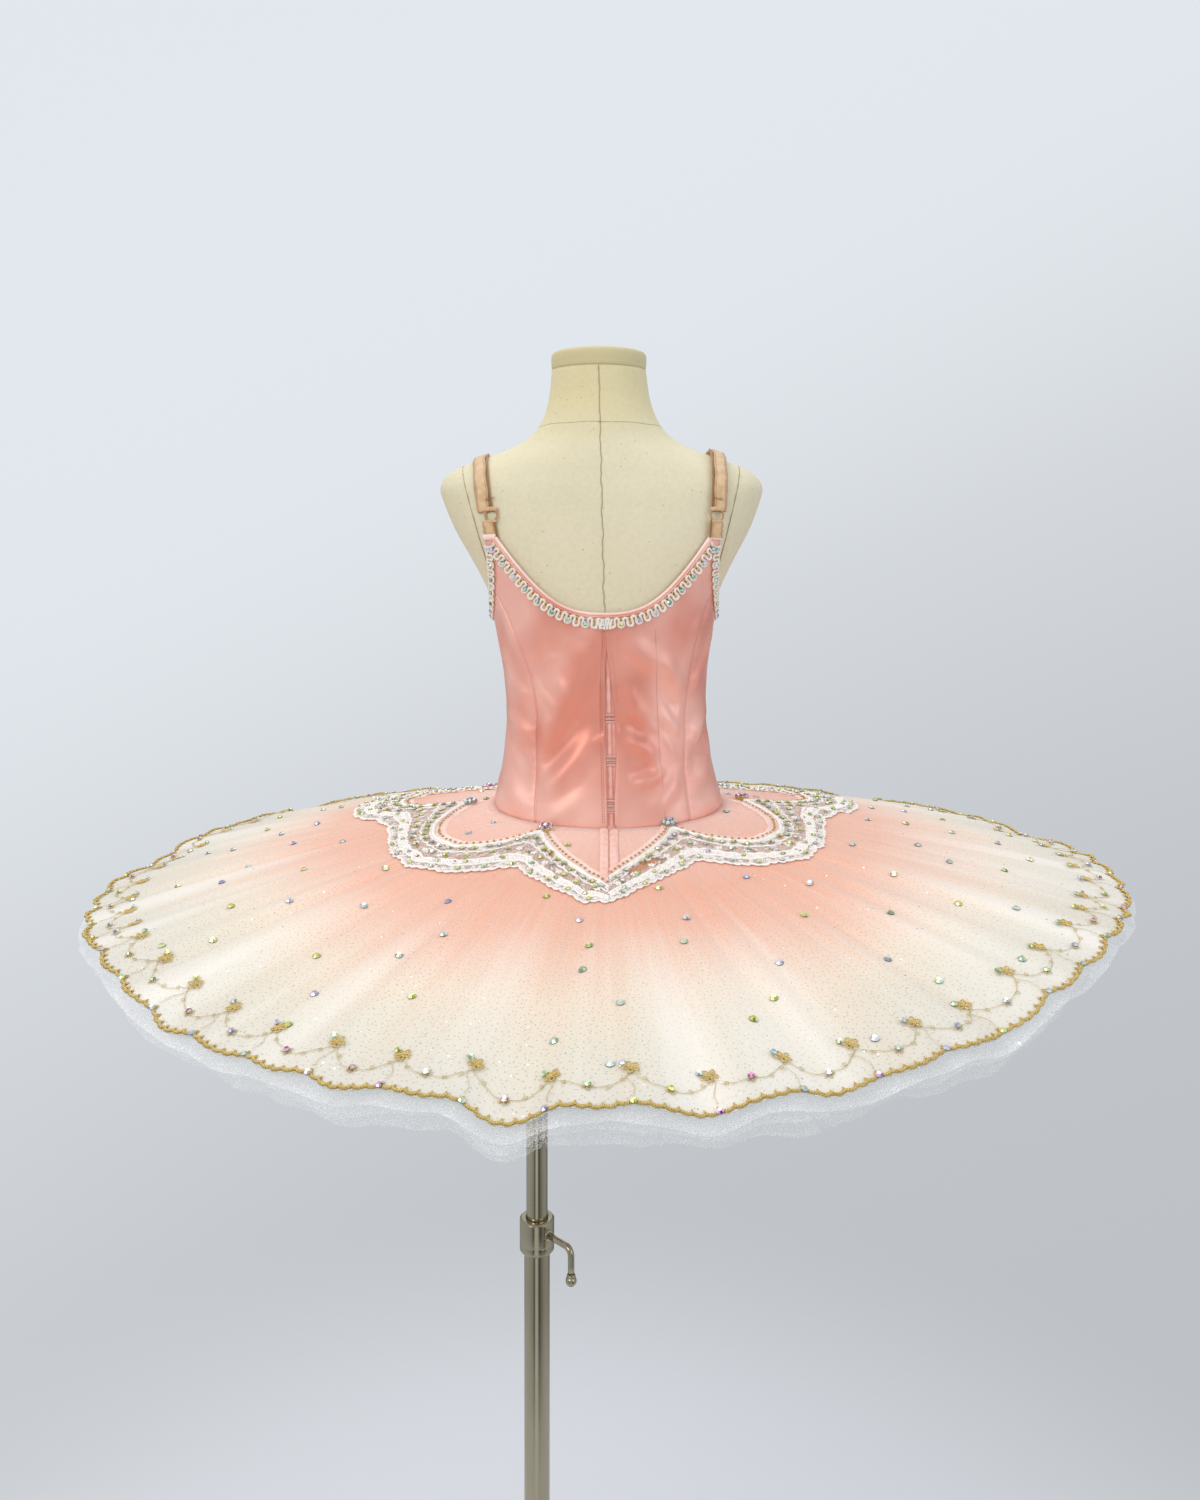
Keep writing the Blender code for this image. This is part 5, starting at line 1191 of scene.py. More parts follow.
def make_straps():
    rings, wraps, edges, shades, thread = (Pile() for _ in range(5))
    for word, side in (("left", 1.0), ("right", -1.0)):
        line = STRAP_LINES[word]
        hang = side * line.back
        back = angle_at(hang, RING_Z + RING_RADIUS - 0.0012)
        front = angle_at(side * line.front, STRAP_CORNER_Z - 0.0030, front=True)
        low, top = angle_at(hang, STRAP_CORNER_Z - 0.0008), angle_at(hang, RING_Z - RING_RADIUS + 0.0004)
        wide, narrow = STRAP_WIDTH, 0.0112
        for name, start, stop, lift, widths, solid, shift, rows in (
                ("elastic_strap_", back, front, 0.0005,
                 [(0, narrow), (0.05, wide * 0.93), (0.10, wide), (1, wide)],
                 ["strap_" + word], 0.0, 90),
                ("elastic_strap_doubled_", back, back + 0.36 * (front - back), 0.0021,
                 [(0, narrow), (0.2, wide * 0.84), (1, wide * 0.84)], (), 0.0008, 50),
                ("elastic_tab_", low, top, 0.0019, [(0, wide * 0.84), (0.6, wide * 0.80), (1, narrow * 0.95)],
                 ["strap_tab_" + word], -0.0010, 30)):
            strap_band(name + word, line, side, start, stop, lift, widths, solid, shift, rows)
        for start, stop, aside, lift in ((back + 2.0, back + 0.40 * (front - back), -wide * 0.47, 0.0024),
                                         (low, top, -wide * 0.50, 0.0030)):
            angle = np.linspace(start, stop, 40)
            rail = shoulder_points(side * (strap_x(line, angle) + aside), angle, lift)
            edges.tube(rail, np.tile([0.0, 1.0, 0.3], (40, 1)), 0.00095, sides=7, flat=0.7)
        here = angle_at(hang, RING_Z)
        centre = shoulder_points(hang, here, 0.0026)
        up = unit(shoulder_points(hang, here + 4.0, 0.0026) - centre)
        normal = unit(np.cross(up, shoulder_points(side * (line.back + 0.004), here, 0.0026) - centre))
        normal *= np.sign(normal[1])
        aside = np.cross(normal, up)

        def bend(pile, path, radius, **more):
            pile.tube(path, np.tile(normal, (len(path), 1)), radius, **more)

        t = circle(48)[:, None]
        bend(rings, centre + (np.cos(t) * up + np.sin(t) * aside) * (RING_RADIUS + 0.0009), 0.00092, sides=10,
             closed=True)
        x = np.linspace(-1, 1, 17)[:, None]
        for sign, reach, thick in ((1, 0.0060, 0.0020), (-1, 0.0052, 0.0014)):
            bend(wraps, centre + up * sign * (RING_RADIUS * (1.10 - 0.16 * x ** 2)) + aside * x * reach,
                 thick - 0.0002 * x[:, 0] ** 2, sides=10, flat=0.85)
        # A dark tan cord tucked under the strap's fold at the ring's top: painted shadow in the upper part of
        # the ring's hole.
        bend(shades, centre + up * (RING_RADIUS * (0.76 - 0.24 * x ** 2)) + aside * x * 0.0042
             - normal * 0.0006, 0.0009 - 0.0004 * x[:, 0] ** 2, sides=8, flat=0.6)
        x = np.linspace(-0.0046, 0.0046, 9)
        for at in (0.0095, 0.0108):
            bend(thread, shoulder_points(side * (line.back + x + 0.0010), back + math.degrees(at / 0.085),
                                         0.0040),
                 0.00022, sides=4)
    rings.make("strap_rings", RING, "ring", ["strap_ring_left", "strap_ring_right"])
    wraps.make("strap_folds", ELASTIC, "elastic")
    for pile, name in ((edges, "strap_edges"), (shades, "strap_fold_shadows"), (thread, "strap_stitches")):
        pile.make(name, ELASTIC_EDGE_AND_SHADE, "elastic")


# ---------------------------------------------------------------- skirt
def seam_grid(columns):
    """Angles all round, with the first repeated at the centre front, where the cloth's seam lies."""
    return np.linspace(-180.0, 180.0, columns + 1)


def make_overlay():
    s = np.concatenate([np.linspace(0, 0.2, 8)[:-1], np.linspace(0.2, 0.90, 18)[:-1],
                        np.linspace(0.90, 1.0, 9)])[:, None]
    psi = seam_grid(56 * 12)[None, :]
    radius = MID_RIM + (scallop_radius(psi) - MID_RIM) * smooth((s - 0.93) / 0.07)
    points = pleated_point(psi, s, radius)
    distance = np.hypot(points[..., 0] - TORSO_X, points[..., 1])
    uvs = np.stack([np.radians(psi) * 0.42 * np.ones_like(s), distance], -1)
    obj = cloth("tulle_overlay", points, TULLE, 0.0008, "tulle", ["skirt_overlay"], uvs=uvs)


def make_nets():
    """The glitter net that shows beyond the gold edge, and stiffer nets with ragged cut edges below."""
    for index, net in enumerate(NETS):
        ragged = index > 0
        columns = 1440 if ragged else 720
        s = np.array([0.0, 0.2, 0.4, 0.6, 0.78, 0.90, 0.955, 0.98, 1.0]) if ragged else \
            np.concatenate([np.linspace(0, 0.8, 7), np.linspace(0.85, 1.0, 7)])
        psi, s = seam_grid(columns), s[:, None]
        turn = np.radians(psi)
        local = np.random.default_rng(40 + 7 * index)
        if ragged:
            torn = smooth((np.sin(turn * 11 + 2 * np.sin(turn * 3)) - 0.80) / 0.2)
            teeth = (0.0007 + 0.0075 * torn) * local.random(columns + 1)
            teeth *= np.where(np.arange(columns + 1) % 2 == 0, 1.0, 0.3)
            edge = net.radius - 0.0029 - teeth - 0.0036 * (1 + np.sin(turn * 23 + 2 * np.sin(turn * 5)))
        else:
            edge = net.radius - 0.0029 + 0.0026 * np.abs(np.sin(turn * 17 + 0.8 * np.sin(turn * 4)))
        radius = net.radius - 0.006 + (edge - net.radius + 0.006) * smooth((s - 0.8) / 0.2)
        points = skirt_point(psi, s, radius, net.hip_drop, net.rim_drop)
        wave = np.cos(turn * net.waves + net.phase) + 0.5 * np.cos(turn * 61)
        points[..., 2] += net.wave_height * 0.8 * wave * s - 0.0010 * s
        if ragged:
            points[..., 2] -= 0.0012 * local.random(columns + 1) * smooth((s - 0.86) / 0.14)
        points[:, -1] = points[:, 0]
        cloth(net.name, points, NET_COVERS[index], 0.0, "net", [net.node])


def make_plackets():
    for word, side, long in (("left", 1.0, 0.0915), ("right", -1.0, 0.0765)):
        distance = np.linspace(0.0935, 0.0935 + long, 60)[:, None]
        across = np.linspace(0.0006, 0.0080, 9)[None, :]
        crown = 0.0007 * np.sin(np.pi * (across - 0.0006) / 0.0074) + 0.0003 * np.sin(distance * 600 + side)
        points = on_skirt(np.degrees(side * across / distance), distance, 0.0010 + crown)
        obj = cloth("placket_" + word, points, PIPING, 0.0007, "piping", ["skirt_placket_" + word],
                    flip=side < 0)


# ---------------------------------------------------------------- lace
def lace_edges(psi):
    psi = wrap(psi)
    away = np.abs(psi)
    inner, outer = np.moveaxis(lace_at(away), -1, 0)
    shift = LACE_SKEW * (0.5 + 0.5 * np.cos(np.pi * np.minimum(away / LACE_SKEW_END, 1.0))) * np.sign(psi)
    return inner + shift, outer + shift * np.minimum(away / 6.0, 1.0)


# The corners of the wide gap beside the centre back, as angle and distance.
GAP = [(-4.6, 0.1755), (-6.2, 0.1660), (-11.0, 0.1570), (-15.6, 0.1515), (-15.8, 0.1550),
       (-12.0, 0.1655), (-10.0, 0.1695), (-7.6, 0.1735), (-5.4, 0.1775)]


def in_gap(psi, distance):
    inside = np.zeros(np.broadcast(psi, distance).shape, bool)
    for (p1, r1), (p2, r2) in zip(GAP, GAP[1:] + GAP[:1]):
        inside ^= ((p1 > psi) != (p2 > psi)) & (distance < (r2 - r1) * (psi - p1) / (p2 - p1) + r1)
    return inside


def make_lace_gap():
    """A darker tan sheet in the wide gap beside the centre back: painted shadow where the skirt below the
    lace lies in shade.
    """
    psi, distance = np.linspace(-16.4, -4.2, 60)[None, :], np.linspace(0.149, 0.180, 34)[:, None]
    points = on_skirt(psi, distance, 0.0007)
    keep = in_gap((psi[:, 1:] + psi[:, :-1]) / 2, (distance[1:] + distance[:-1]) / 2)
    cloth("lace_gap_shadow", points, LACE_GAP_SHADOW, 0.0, "tulle", keep=keep, flip=True)


def make_lace():
    pitch = 0.0075
    for word, side in (("left", 1.0), ("right", -1.0)):
        bare = np.linspace(0.05, 179.95, 2000)
        inner, outer = lace_edges(side * bare)
        along = lengths(on_skirt(side * bare, inner + (outer - inner) * 0.9))
        s = np.linspace(0, along[-1], int(along[-1] / 0.00165))
        psi = np.interp(s, along, bare)
        inner, outer = lace_edges(side * psi)
        v = np.linspace(0.0, 1.0, 26)[:, None]
        scallops = 0.0026 * np.abs(np.sin(np.pi * s / pitch)) + 0.0018 * np.sin(np.pi * s / 0.034) ** 2
        distance = inner + (outer - 0.0020 + scallops - inner) * v
        points = on_skirt(side * psi, distance, 0.0012)
        mid_s, mid_v, mid_psi = (s[:-1] + s[1:]) / 2, (v[:-1] + v[1:]) / 2, (psi[:-1] + psi[1:]) / 2
        mid_d = (distance[:-1, :-1] + distance[1:, 1:]) / 2
        keep = np.ones(mid_d.shape, bool)
        local = np.random.default_rng(90)
        for centre in 9.0 * (np.arange(LACE_HOLES) + 0.5):
            tilt = local.uniform(-0.3, 0.3)
            du = (mid_s - np.interp(centre, psi, s)) / 0.0034
            dv = (mid_d - np.interp(centre, psi, inner + (outer - inner) * 0.69)) / 0.0028
            keep &= (du + tilt * dv) ** 2 + dv ** 2 > 1.0
        for k in range(int(s[-1] / 0.0058)):
            where = 0.0058 * (k + 0.5) + local.uniform(-0.0015, 0.0015)
            height = local.choice([0.20, 0.40, 0.49, 0.56])
            du = (mid_s - where) / local.uniform(0.0015, 0.0024)
            dv = (mid_v - height) / local.uniform(0.035, 0.060)
            keep &= du ** 2 + dv ** 2 > 1.0
        if side < 0:
            keep &= ~in_gap(-mid_psi, mid_d)
        uvs = np.stack(np.broadcast_arrays(s, 0.05 * v), -1)
        obj = cloth("lace_ground_" + word, points, LACE, 0.0007, "lace", ["lace_" + word], keep, uvs,
                    flip=side > 0)
        lace_border(word, side, psi, s, inner)
        lace_cords(word, side, psi, s, inner, outer, scallops)
        lace_petals(word, side, psi, s, inner, outer)


# Swaying cords between the lace's inner and outer edge, then its rings of leaves.
LaceCord = namedtuple("LaceCord", "share sway lift radius pitch phase")
LACE_CORDS = [LaceCord(0.31, 0.0008, 0.0018, 0.00075, 0.011, 0.0),
              LaceCord(0.63, 0.0007, 0.0018, 0.00095, 0.0115, 2.52),
              LaceCord(0.80, 0.0007, 0.0018, 0.00085, 0.0090, 3.20)]
LeafRow = namedtuple("LeafRow", "share step size count")
LEAF_ROWS = [LeafRow(0.715, 0.0064, 0.0030, 5), LeafRow(0.90, 0.0075, 0.0018, 4),
             LeafRow(0.24, 0.0150, 0.0020, 3), LeafRow(0.47, 0.0215, 0.0028, 5)]


def lace_border(word, side, psi, s, inner):
    """The strip of net inside one half of the lace, with its row of gold dots."""
    slope = np.gradient(inner) / (inner * np.gradient(np.radians(psi)))
    slant = np.sqrt(1.0 + np.minimum(slope ** 2, 1.4))
    slant = np.convolve(np.pad(slant, 12, mode="edge"), np.ones(25) / 25, mode="valid")
    line_d = inner - 0.0040 * slant
    edge_d = np.maximum(inner - 0.0102 * slant + 0.0006 * np.sin(s * 2 * np.pi / 0.004), 0.0965)
    strip = np.stack([on_skirt(side * psi, edge_d + (inner + 0.0006 - edge_d) * share, lift)
                      for share, lift in ((0.0, 0.0009), (0.35, 0.0012), (0.65, 0.0013), (1.0, 0.0012))])
    cloth("lace_border_" + word, strip, LACE_BORDER, 0.0, "lace", flip=side > 0)
    border_s = lengths(on_skirt(side * psi, line_d, 0.0013))
    where = np.arange(0.002, border_s[-1], 0.0058)
    dot_psi, dot_d = np.interp(where, border_s, psi), np.interp(where, border_s, line_d)
    at, out, _, normal = skirt_frame(side * dot_psi, dot_d, 0.0023)
    dots = Pile()
    dots.place(BALL_FLAT, at, out, normal, 0.00140)
    dots.make("lace_gold_dots_" + word, DOT_GOLD, "lace")


def lace_cords(word, side, psi, s, inner, outer, scallops):
    """Seven raised cords on one half of the lace; those that meet the wide gap stop at it."""
    cords = Pile()

    def line(distance, lift, radius, sides=6, step=1):
        angle, distance = psi[::step], distance[::step]
        points, _, _, normal = skirt_frame(side * angle, distance, lift)
        clear = (side > 0) | ~in_gap(-angle, distance)
        ends = np.flatnonzero(np.diff(np.concatenate([[0], clear.astype(int), [0]])))
        for start, stop in zip(ends[::2], ends[1::2]):
            if stop - start > 3:
                cords.tube(points[start:stop], normal[start:stop], radius, sides=sides, flat=0.75)

    line(inner + 0.0012, 0.0020, 0.00150, 8, step=2)
    line(inner + 0.0042 + 0.0004 * np.sin(s * 900), 0.0017, 0.00060)
    for cord in LACE_CORDS:
        sway = cord.sway * np.sin(s * 2 * np.pi / cord.pitch + cord.phase)
        line(inner + (outer - inner) * cord.share + sway, cord.lift, cord.radius)
    line(outer - 0.0024 + scallops, 0.0016, 0.00085)
    line(outer - 0.0052 + scallops * 0.9, 0.0016, 0.00050, 5)
    cords.make("lace_cords_" + word, LACE_CORD, "lace")


def lace_petals(word, side, psi, s, inner, outer):
    """Small raised leaves in rosettes, in rows along one half of the lace."""
    petals = Pile()
    local = np.random.default_rng(17 if side > 0 else 18)
    for row in LEAF_ROWS:
        where = np.arange(row.step / 2, s[-1], row.step)
        where = where + local.uniform(-0.0008, 0.0008, len(where))
        centre_psi, centre_in, centre_span = (np.interp(where, s, a) for a in (psi, inner, outer - inner))
        centre_d = centre_in + centre_span * (row.share + local.uniform(-0.02, 0.02, len(where)))
        clear = (side > 0) | ~in_gap(-centre_psi, centre_d)
        at, out, around, normal = skirt_frame(side * centre_psi[clear], centre_d[clear], 0.0019)
        spin = local.random(len(at)) * 6.28
        for k in range(row.count):
            a = (spin + 2 * np.pi * k / row.count)[:, None]
            way = out * np.cos(a) + around * np.sin(a)
            petals.place(LEAF, at + way * row.size * 0.62, way, normal, row.size * 0.62)
    petals.make("lace_petals_" + word, LACE_CORD, "lace")


Bead = namedtuple("Bead", "psi distance kind gold")
FLOWER_BEADS = [
    Bead(31.0, 0.106, "rose", True), Bead(-33.0, 0.098, "ice", False), Bead(88.0, 0.127, "ice", False),
    Bead(-94.0, 0.129, "rose", True), Bead(141.0, 0.200, "rose", False), Bead(-141.0, 0.200, "ice", False),
]


def make_lace_stones():
    stars, gems, cups, bases = Pile(), Pile(), Pile(), Pile()
    bare = np.linspace(0.6, 179.4, 1500)
    for side in (1.0, -1.0):
        local = np.random.default_rng(60 if side > 0 else 61)
        inner, outer = lace_edges(side * bare)
        for v, step, size, starred, extra in ((0.13, 0.0114, 0.0049, True, 0.0028),
                                              (0.47, 0.0180, 0.0047, True, 0.0),
                                              (0.74, 0.0310, 0.0045, False, 0.0),
                                              (0.93, 0.0225, 0.0046, False, 0.0)):
            distance = inner + (outer - inner) * v + extra
            along = lengths(on_skirt(side * bare, distance))
            where = np.arange(step * 0.6, along[-1], step)
            where = where + local.uniform(-0.18, 0.18, len(where)) * step
            psi = np.interp(where, along, bare)
            away = np.interp(psi, bare, distance) + local.uniform(-0.0022, 0.0022, len(psi))
            clear = (side > 0) | ~in_gap(-psi, away)
            at, out, _, normal = skirt_frame(side * psi[clear], away[clear], 0.0024)
            if starred:
                stars.place(STAR, at - normal * 0.0003, out, normal, 0.0036,
                            spin=local.random(len(at)) * 6.28)
            add_stones(gems, at + normal * 0.0004, out, normal, size,
                       pick(len(at), citrine=5, ice=3, lilac=1, mint=4))
    for bead in FLOWER_BEADS:
        at, out, around, normal = skirt_frame([bead.psi], [bead.distance], 0.0010)
        below = bases if bead.gold else cups
        below.place(BALL_FLAT, at + normal * 0.0008, out, normal, 0.0062)
        for a in circle(8):
            way = out * math.cos(a) + around * math.sin(a)
            tilt = unit(normal * 0.8 + way * 0.6)
            below.place(BALL_FLAT, at + way * 0.0047 + normal * 0.0022, way, tilt, 0.0025)
            add_stones(gems, at + way * 0.0050 + normal * 0.0032, way, tilt, 0.0040, [bead.kind])
        add_stones(gems, at + normal * 0.0040, out, normal, 0.0054,
                   ["ice" if bead.kind == "rose" else "lilac"])
    stars.make("lace_stars", GOLD_FINE, "lace")
    gems.make("lace_stones", CRYSTAL, "lace", is_smooth=False)
    cups.make("bead_cups_silver", STEEL, "lace")
    bases.make("bead_cups_gold", GOLD, "lace")


# ---------------------------------------------------------------- gold edge
def rim_route():
    psi = SCALLOP_PHASE + np.linspace(0, 360, SCALLOPS * 60 + 1)
    points, inside = (pleated_point(psi, share, scallop_radius(psi)) for share in (1.0, 0.985))
    along = unit(np.roll(points[:-1], -1, 0) - np.roll(points[:-1], 1, 0))
    along = np.vstack([along, along[:1]])
    rough = unit(inside - points)
    normal = unit(np.cross(along, rough))
    normal *= np.sign(normal[:, 2:3])
    across = np.cross(normal, along)
    across *= np.sign(np.sum(across * rough, axis=1, keepdims=True))
    return Route(points, across, normal, closed=True), psi


RIM_STEPS, RIM_LOOPS = 72, 6            # points and small loops to each scallop
FLOWER_INSET, LEAF_INSET = 0.0325, 0.0165


def rim_braid(route, cusps):
    """Two strands that wind round each other along the scallops, with small loops outside them."""
    strands, picots = Pile(), Pile()
    each = RIM_STEPS // RIM_LOOPS
    s = np.concatenate([np.linspace(a, b, RIM_STEPS, endpoint=False) for a, b in zip(cusps, cusps[1:])])
    sway = 0.0021 - 0.0017 * np.sin(np.pi * (np.arange(len(s)) % each) / each)
    twist = 2 * np.pi * s / (route.length / round(route.length / 0.0030))
    for phase in (0.0, np.pi):
        aside = sway + 0.00070 * np.cos(twist + phase)
        strands.tube(route.at(s, aside, 0.0010 + 0.00060 * np.sin(twist + phase)), route.normal(s), 0.00074,
                     sides=4, closed=True, turn=0.4)
    t = np.linspace(-1, 1, 6)
    for at in s[::each]:
        here = at + 0.0006 * t
        picots.tube(route.at(here, 0.0029 + 0.0021 * (1 - t ** 2), 0.0009), route.normal(here), 0.00048,
                    sides=4)
    strands.make("gold_rim_braid", GOLD, "gold_thread", ["rim_braid"])
    picots.make("gold_rim_picots", GOLD, "gold_thread")


def rim_flowers(gems, cusp_psi):
    """A flower of five thread loops at each cusp, a spray of four leaves between them, and their stones."""
    flowers = Pile()
    local = np.random.default_rng(31)
    distance = MID_RIM - FLOWER_INSET + local.uniform(-0.002, 0.002, SCALLOPS)
    at, out, around, normal = skirt_frame(cusp_psi, distance, 0.0011)
    t = circle(7)[:, None]
    for at_k, out_k, around_k, normal_k in zip(at, out, around, normal):
        for a in local.random() * 6.28 + circle(5):
            way = out_k * math.cos(a) + around_k * math.sin(a)
            loop = (at_k + way * (0.0033 + 0.0021 * np.cos(t)) + np.cross(normal_k, way) * 0.0014 * np.sin(t)
                    + normal_k * 0.0004)
            flowers.tube(loop, np.tile(normal_k, (7, 1)), 0.00056, sides=4, closed=True)
        flowers.place(BALL_FLAT, at_k + normal_k * 0.0006, out_k, normal_k, 0.0011)
    add_stones(gems, at - around * 0.0052 - out * 0.0036 + normal * 0.0006, out, normal, 0.0048,
               pick(SCALLOPS, citrine=3, ice=4, lilac=2, mint=4))

    distance = MID_RIM - LEAF_INSET + local.uniform(-0.001, 0.001, SCALLOPS)
    at, out, around, normal = skirt_frame(cusp_psi - SPACING * 0.46, distance, 0.0011)
    leaf = ball_shape(6, 4, 0.30)
    for a in 0.5 + circle(5)[:4]:
        way = around * math.sin(a) - out * math.cos(a)
        for reach, size in ((0.0020, 0.00095), (0.0033, 0.0007)):
            flowers.place(leaf, at + way * reach, way, normal, size)
    add_stones(gems, at + normal * 0.0008, out, normal, 0.0048,
               pick(SCALLOPS, citrine=3, ice=2, lilac=3, mint=2, rose=3))
    flowers.make("gold_flowers", GOLD, "gold_thread")


# The vine's distance in from the rim, along its way from one cusp to the next.
VINE_SHARES = [0.0, 0.10, 0.18, 0.30, 0.46, 0.62, 0.74, 0.88, 1.0]
VINE_INSETS = [0.0290, 0.0250, 0.0215, 0.0180, 0.0165, 0.0160, 0.0178, 0.0232, 0.0290]


def rim_vines(cusp_psi):
    """Fine couched thread from cusp to cusp, with three small rings and a curl on each span."""
    vines = Pile()
    u, w, t = np.linspace(0, 1, 26), np.linspace(0, 1, 10), circle(10)[:, None]
    inset = np.interp(u, VINE_SHARES, VINE_INSETS)
    for k, start in enumerate(cusp_psi):
        line, _, _, n = skirt_frame(start - SPACING * u, MID_RIM - inset + 0.0006 * np.sin(u * 17 + k),
                                    0.0009)
        vines.tube(line, n, 0.00021, sides=4)
        for ring_u in (0.165, 0.71, 0.885):
            d = np.interp(ring_u, u, inset) + (0.0012 if k % 2 else -0.0010)
            c, o, r, n = skirt_frame([start - SPACING * ring_u], [MID_RIM - d], 0.0011)
            vines.tube(c + (o * np.cos(t) + r * np.sin(t)) * 0.00125, np.tile(n, (10, 1)), 0.00026, sides=4,
                       closed=True)
        curl, _, _, n = skirt_frame(start + (0.42 if k % 3 else -0.30) * np.sin(w * 6.0) * (1.2 - w),
                                    MID_RIM - 0.030 + w * 0.021, 0.0009)
        vines.tube(curl, n, 0.00019, sides=4)
    vines.make("gold_vines", GOLD_FINE, "gold_thread")


def make_rim():
    route, psi = rim_route()
    cusps = np.interp(SCALLOP_PHASE + np.arange(SCALLOPS + 1) * SPACING, psi, route.along)
    cusp_psi = SCALLOP_PHASE + np.arange(SCALLOPS) * SPACING
    rim_braid(route, cusps)
    gems, at = Pile(), cusps[:-1]
    add_stones(gems, route.at(at, 0.0002, 0.0019), route.at(at + 0.001) - route.at(at), route.normal(at),
               0.0050, pick(SCALLOPS, citrine=3, ice=3, lilac=3, mint=3, rose=3))
    rim_flowers(gems, cusp_psi)
    rim_vines(cusp_psi)
    gems.make("rim_stones", CRYSTAL, "gold_thread", is_smooth=False)


# Rings of loose stones: distance from the axis, how many, and the first one's angle.
STONE_RINGS = [(0.118, 9, 14.0), (0.146, 11, 24.0), (0.206, 15, 13.5), (0.244, 16, 6.0), (0.283, 19, 5.5),
               (0.318, 16, 4.0), (0.350, 21, 1.0), (0.385, 17, 8.0), (0.414, 15, 3.0)]


def make_skirt_stones():
    gems = Pile()
    local = np.random.default_rng(5)
    for away, count, shift in STONE_RINGS:
        psi = shift + 360.0 * np.arange(count) / count + local.uniform(-3.5, 3.5, count)
        distance = away + local.uniform(-0.008, 0.008, count)
        inner, outer = lace_edges(psi)
        clear = (distance < inner - 0.010) | (distance > outer + 0.009)
        clear &= ~((np.abs(wrap(psi)) < 5.0) & (distance < 0.19))
        at, out, _, normal = skirt_frame(psi[clear], distance[clear], 0.0002)
        add_stones(gems, at, out, normal, 0.0062, pick(len(at), citrine=4, ice=4, lilac=3, mint=4))
    gems.make("skirt_stones", CRYSTAL, "tulle", is_smooth=False)


# ---------------------------------------------------------------- brief and stand
def leg_z(psi):
    across = np.abs(np.sin(np.radians(psi)))
    return 0.941 + 0.044 * np.sin(np.clip((across - 0.30) / 0.70, 0, 1) * np.pi / 2)


def make_brief():
    for name, low in (("brief_back", -90.0), ("brief_front", 90.0)):
        psi, share = np.linspace(low + 0.2, low + 179.8, 145)[None, :], np.linspace(0, 1, 18)[:, None]
        bottom, top = leg_z(psi), hip_z(psi) - 0.0048
        gather = np.sin(np.radians(psi) * 46 + 1.5 * np.sin(np.radians(psi) * 7))
        lift = BRIEF_GAP + WALL - 0.0002 + 0.0004 * gather * (1 - smooth(share * 2.2))
        points = hem_point(psi, bottom + (top - bottom) * share, lift)
        obj = cloth("pink_" + name, points, COTTON, 0.0011, "cotton", [name], flip=True)
    route = np.array([(0.0888, 0.9400), (0.0880, 0.9372), (0.0845, 0.9345), (0.0800, 0.9342),
                      (0.0500, 0.9342), (0.0, 0.9342), (-0.0500, 0.9342), (-0.0790, 0.9342),
                      (-0.0835, 0.9345), (-0.0868, 0.9372), (-0.0873, 0.9400)])
    along = lengths(route)
    s = np.linspace(0, along[-1], 120)[:, None]
    y, z = np.interp(s, along, route[:, 0]), np.interp(s, along, route[:, 1])
    x = axis_x(0.935) + np.linspace(-0.0298, 0.0298, 25)[None, :]
    points = np.stack(np.broadcast_arrays(x, y, z - 0.0011 + 0.0003 * np.sin(s * 170)), -1)
    obj = cloth("pink_brief_gusset", points, COTTON, 0.0010, "cotton", ["brief_gusset"])
    bands, rows = Pile(), Pile()
    for side in (1.0, -1.0):
        psi = side * np.linspace(20.0, 160.0, 260)
        normal = form_normal(psi, leg_z(psi))
        bands.tube(hem_point(psi, leg_z(psi) + 0.0012, BRIEF_GAP + WALL), normal,
                   0.0013 + 0.00015 * np.sin(np.arange(260) * 1.9), sides=8, flat=0.7)
        for up in (0.0045, 0.0065):
            line = hem_point(psi, leg_z(psi) + up, BRIEF_GAP + WALL + 0.0003)
            dashes(rows, Route(line, np.tile([0.0, 0.0, -1.0], (260, 1)), normal), 0.0018, 0.0010, 0.0004)
    bands.make("brief_leg_elastic", COTTON, "cotton")
    rows.make("brief_stitches", STITCH, "cotton")


def rounded(points, radius, steps=4):
    """A line of (radius, z) points with small round corners."""
    points = [np.array(p, float) for p in points]
    out = [points[0]]
    for before, here, after in zip(points, points[1:], points[2:]):
        a, b = before - here, after - here
        reach = min(radius, np.linalg.norm(a) * 0.45, np.linalg.norm(b) * 0.45)
        start, stop = here + unit(a) * reach, here + unit(b) * reach
        out += [start * (1 - t) ** 2 + here * 2 * t * (1 - t) + stop * t ** 2
                for t in np.linspace(0, 1, steps)]
    return out + [points[-1]]


def along_rod(pile, path, normal, radius, **more):
    pile.tube(path, np.tile(normal, (len(path), 1)), radius, **more)


def make_foot():
    foot = Pile()
    lathe(foot, rounded([(0.0122, 0.004), (0.0122, 0.048), (0.0196, 0.048), (0.021, 0.0465), (0.021, 0.0175),
                         (0.0245, 0.0132), (0.045, 0.0120), (0.110, 0.0098), (0.176, 0.0072), (0.180, 0.0045),
                         (0.180, 0.0015), (0.1785, 0.0), (0.1400, 0.0), (0.1400, 0.0012), (0.0200, 0.0012),
                         (0.0200, 0.0), (0.0005, 0.0), (0.0005, 0.0040), (0.0122, 0.004)], 0.0016), 132)
    for radius, z in ((0.0455, 0.01255), (0.0475, 0.01245), (0.1560, 0.00870)):
        t = circle(132)
        along_rod(foot, np.stack([radius * np.cos(t), radius * np.sin(t), np.full(132, z - 0.0002)], -1),
                  [0.0, 0.0, 1.0], 0.0006, closed=True)
    foot.make("stand_foot", STEEL, "base_metal", ["stand_base"], "stand")


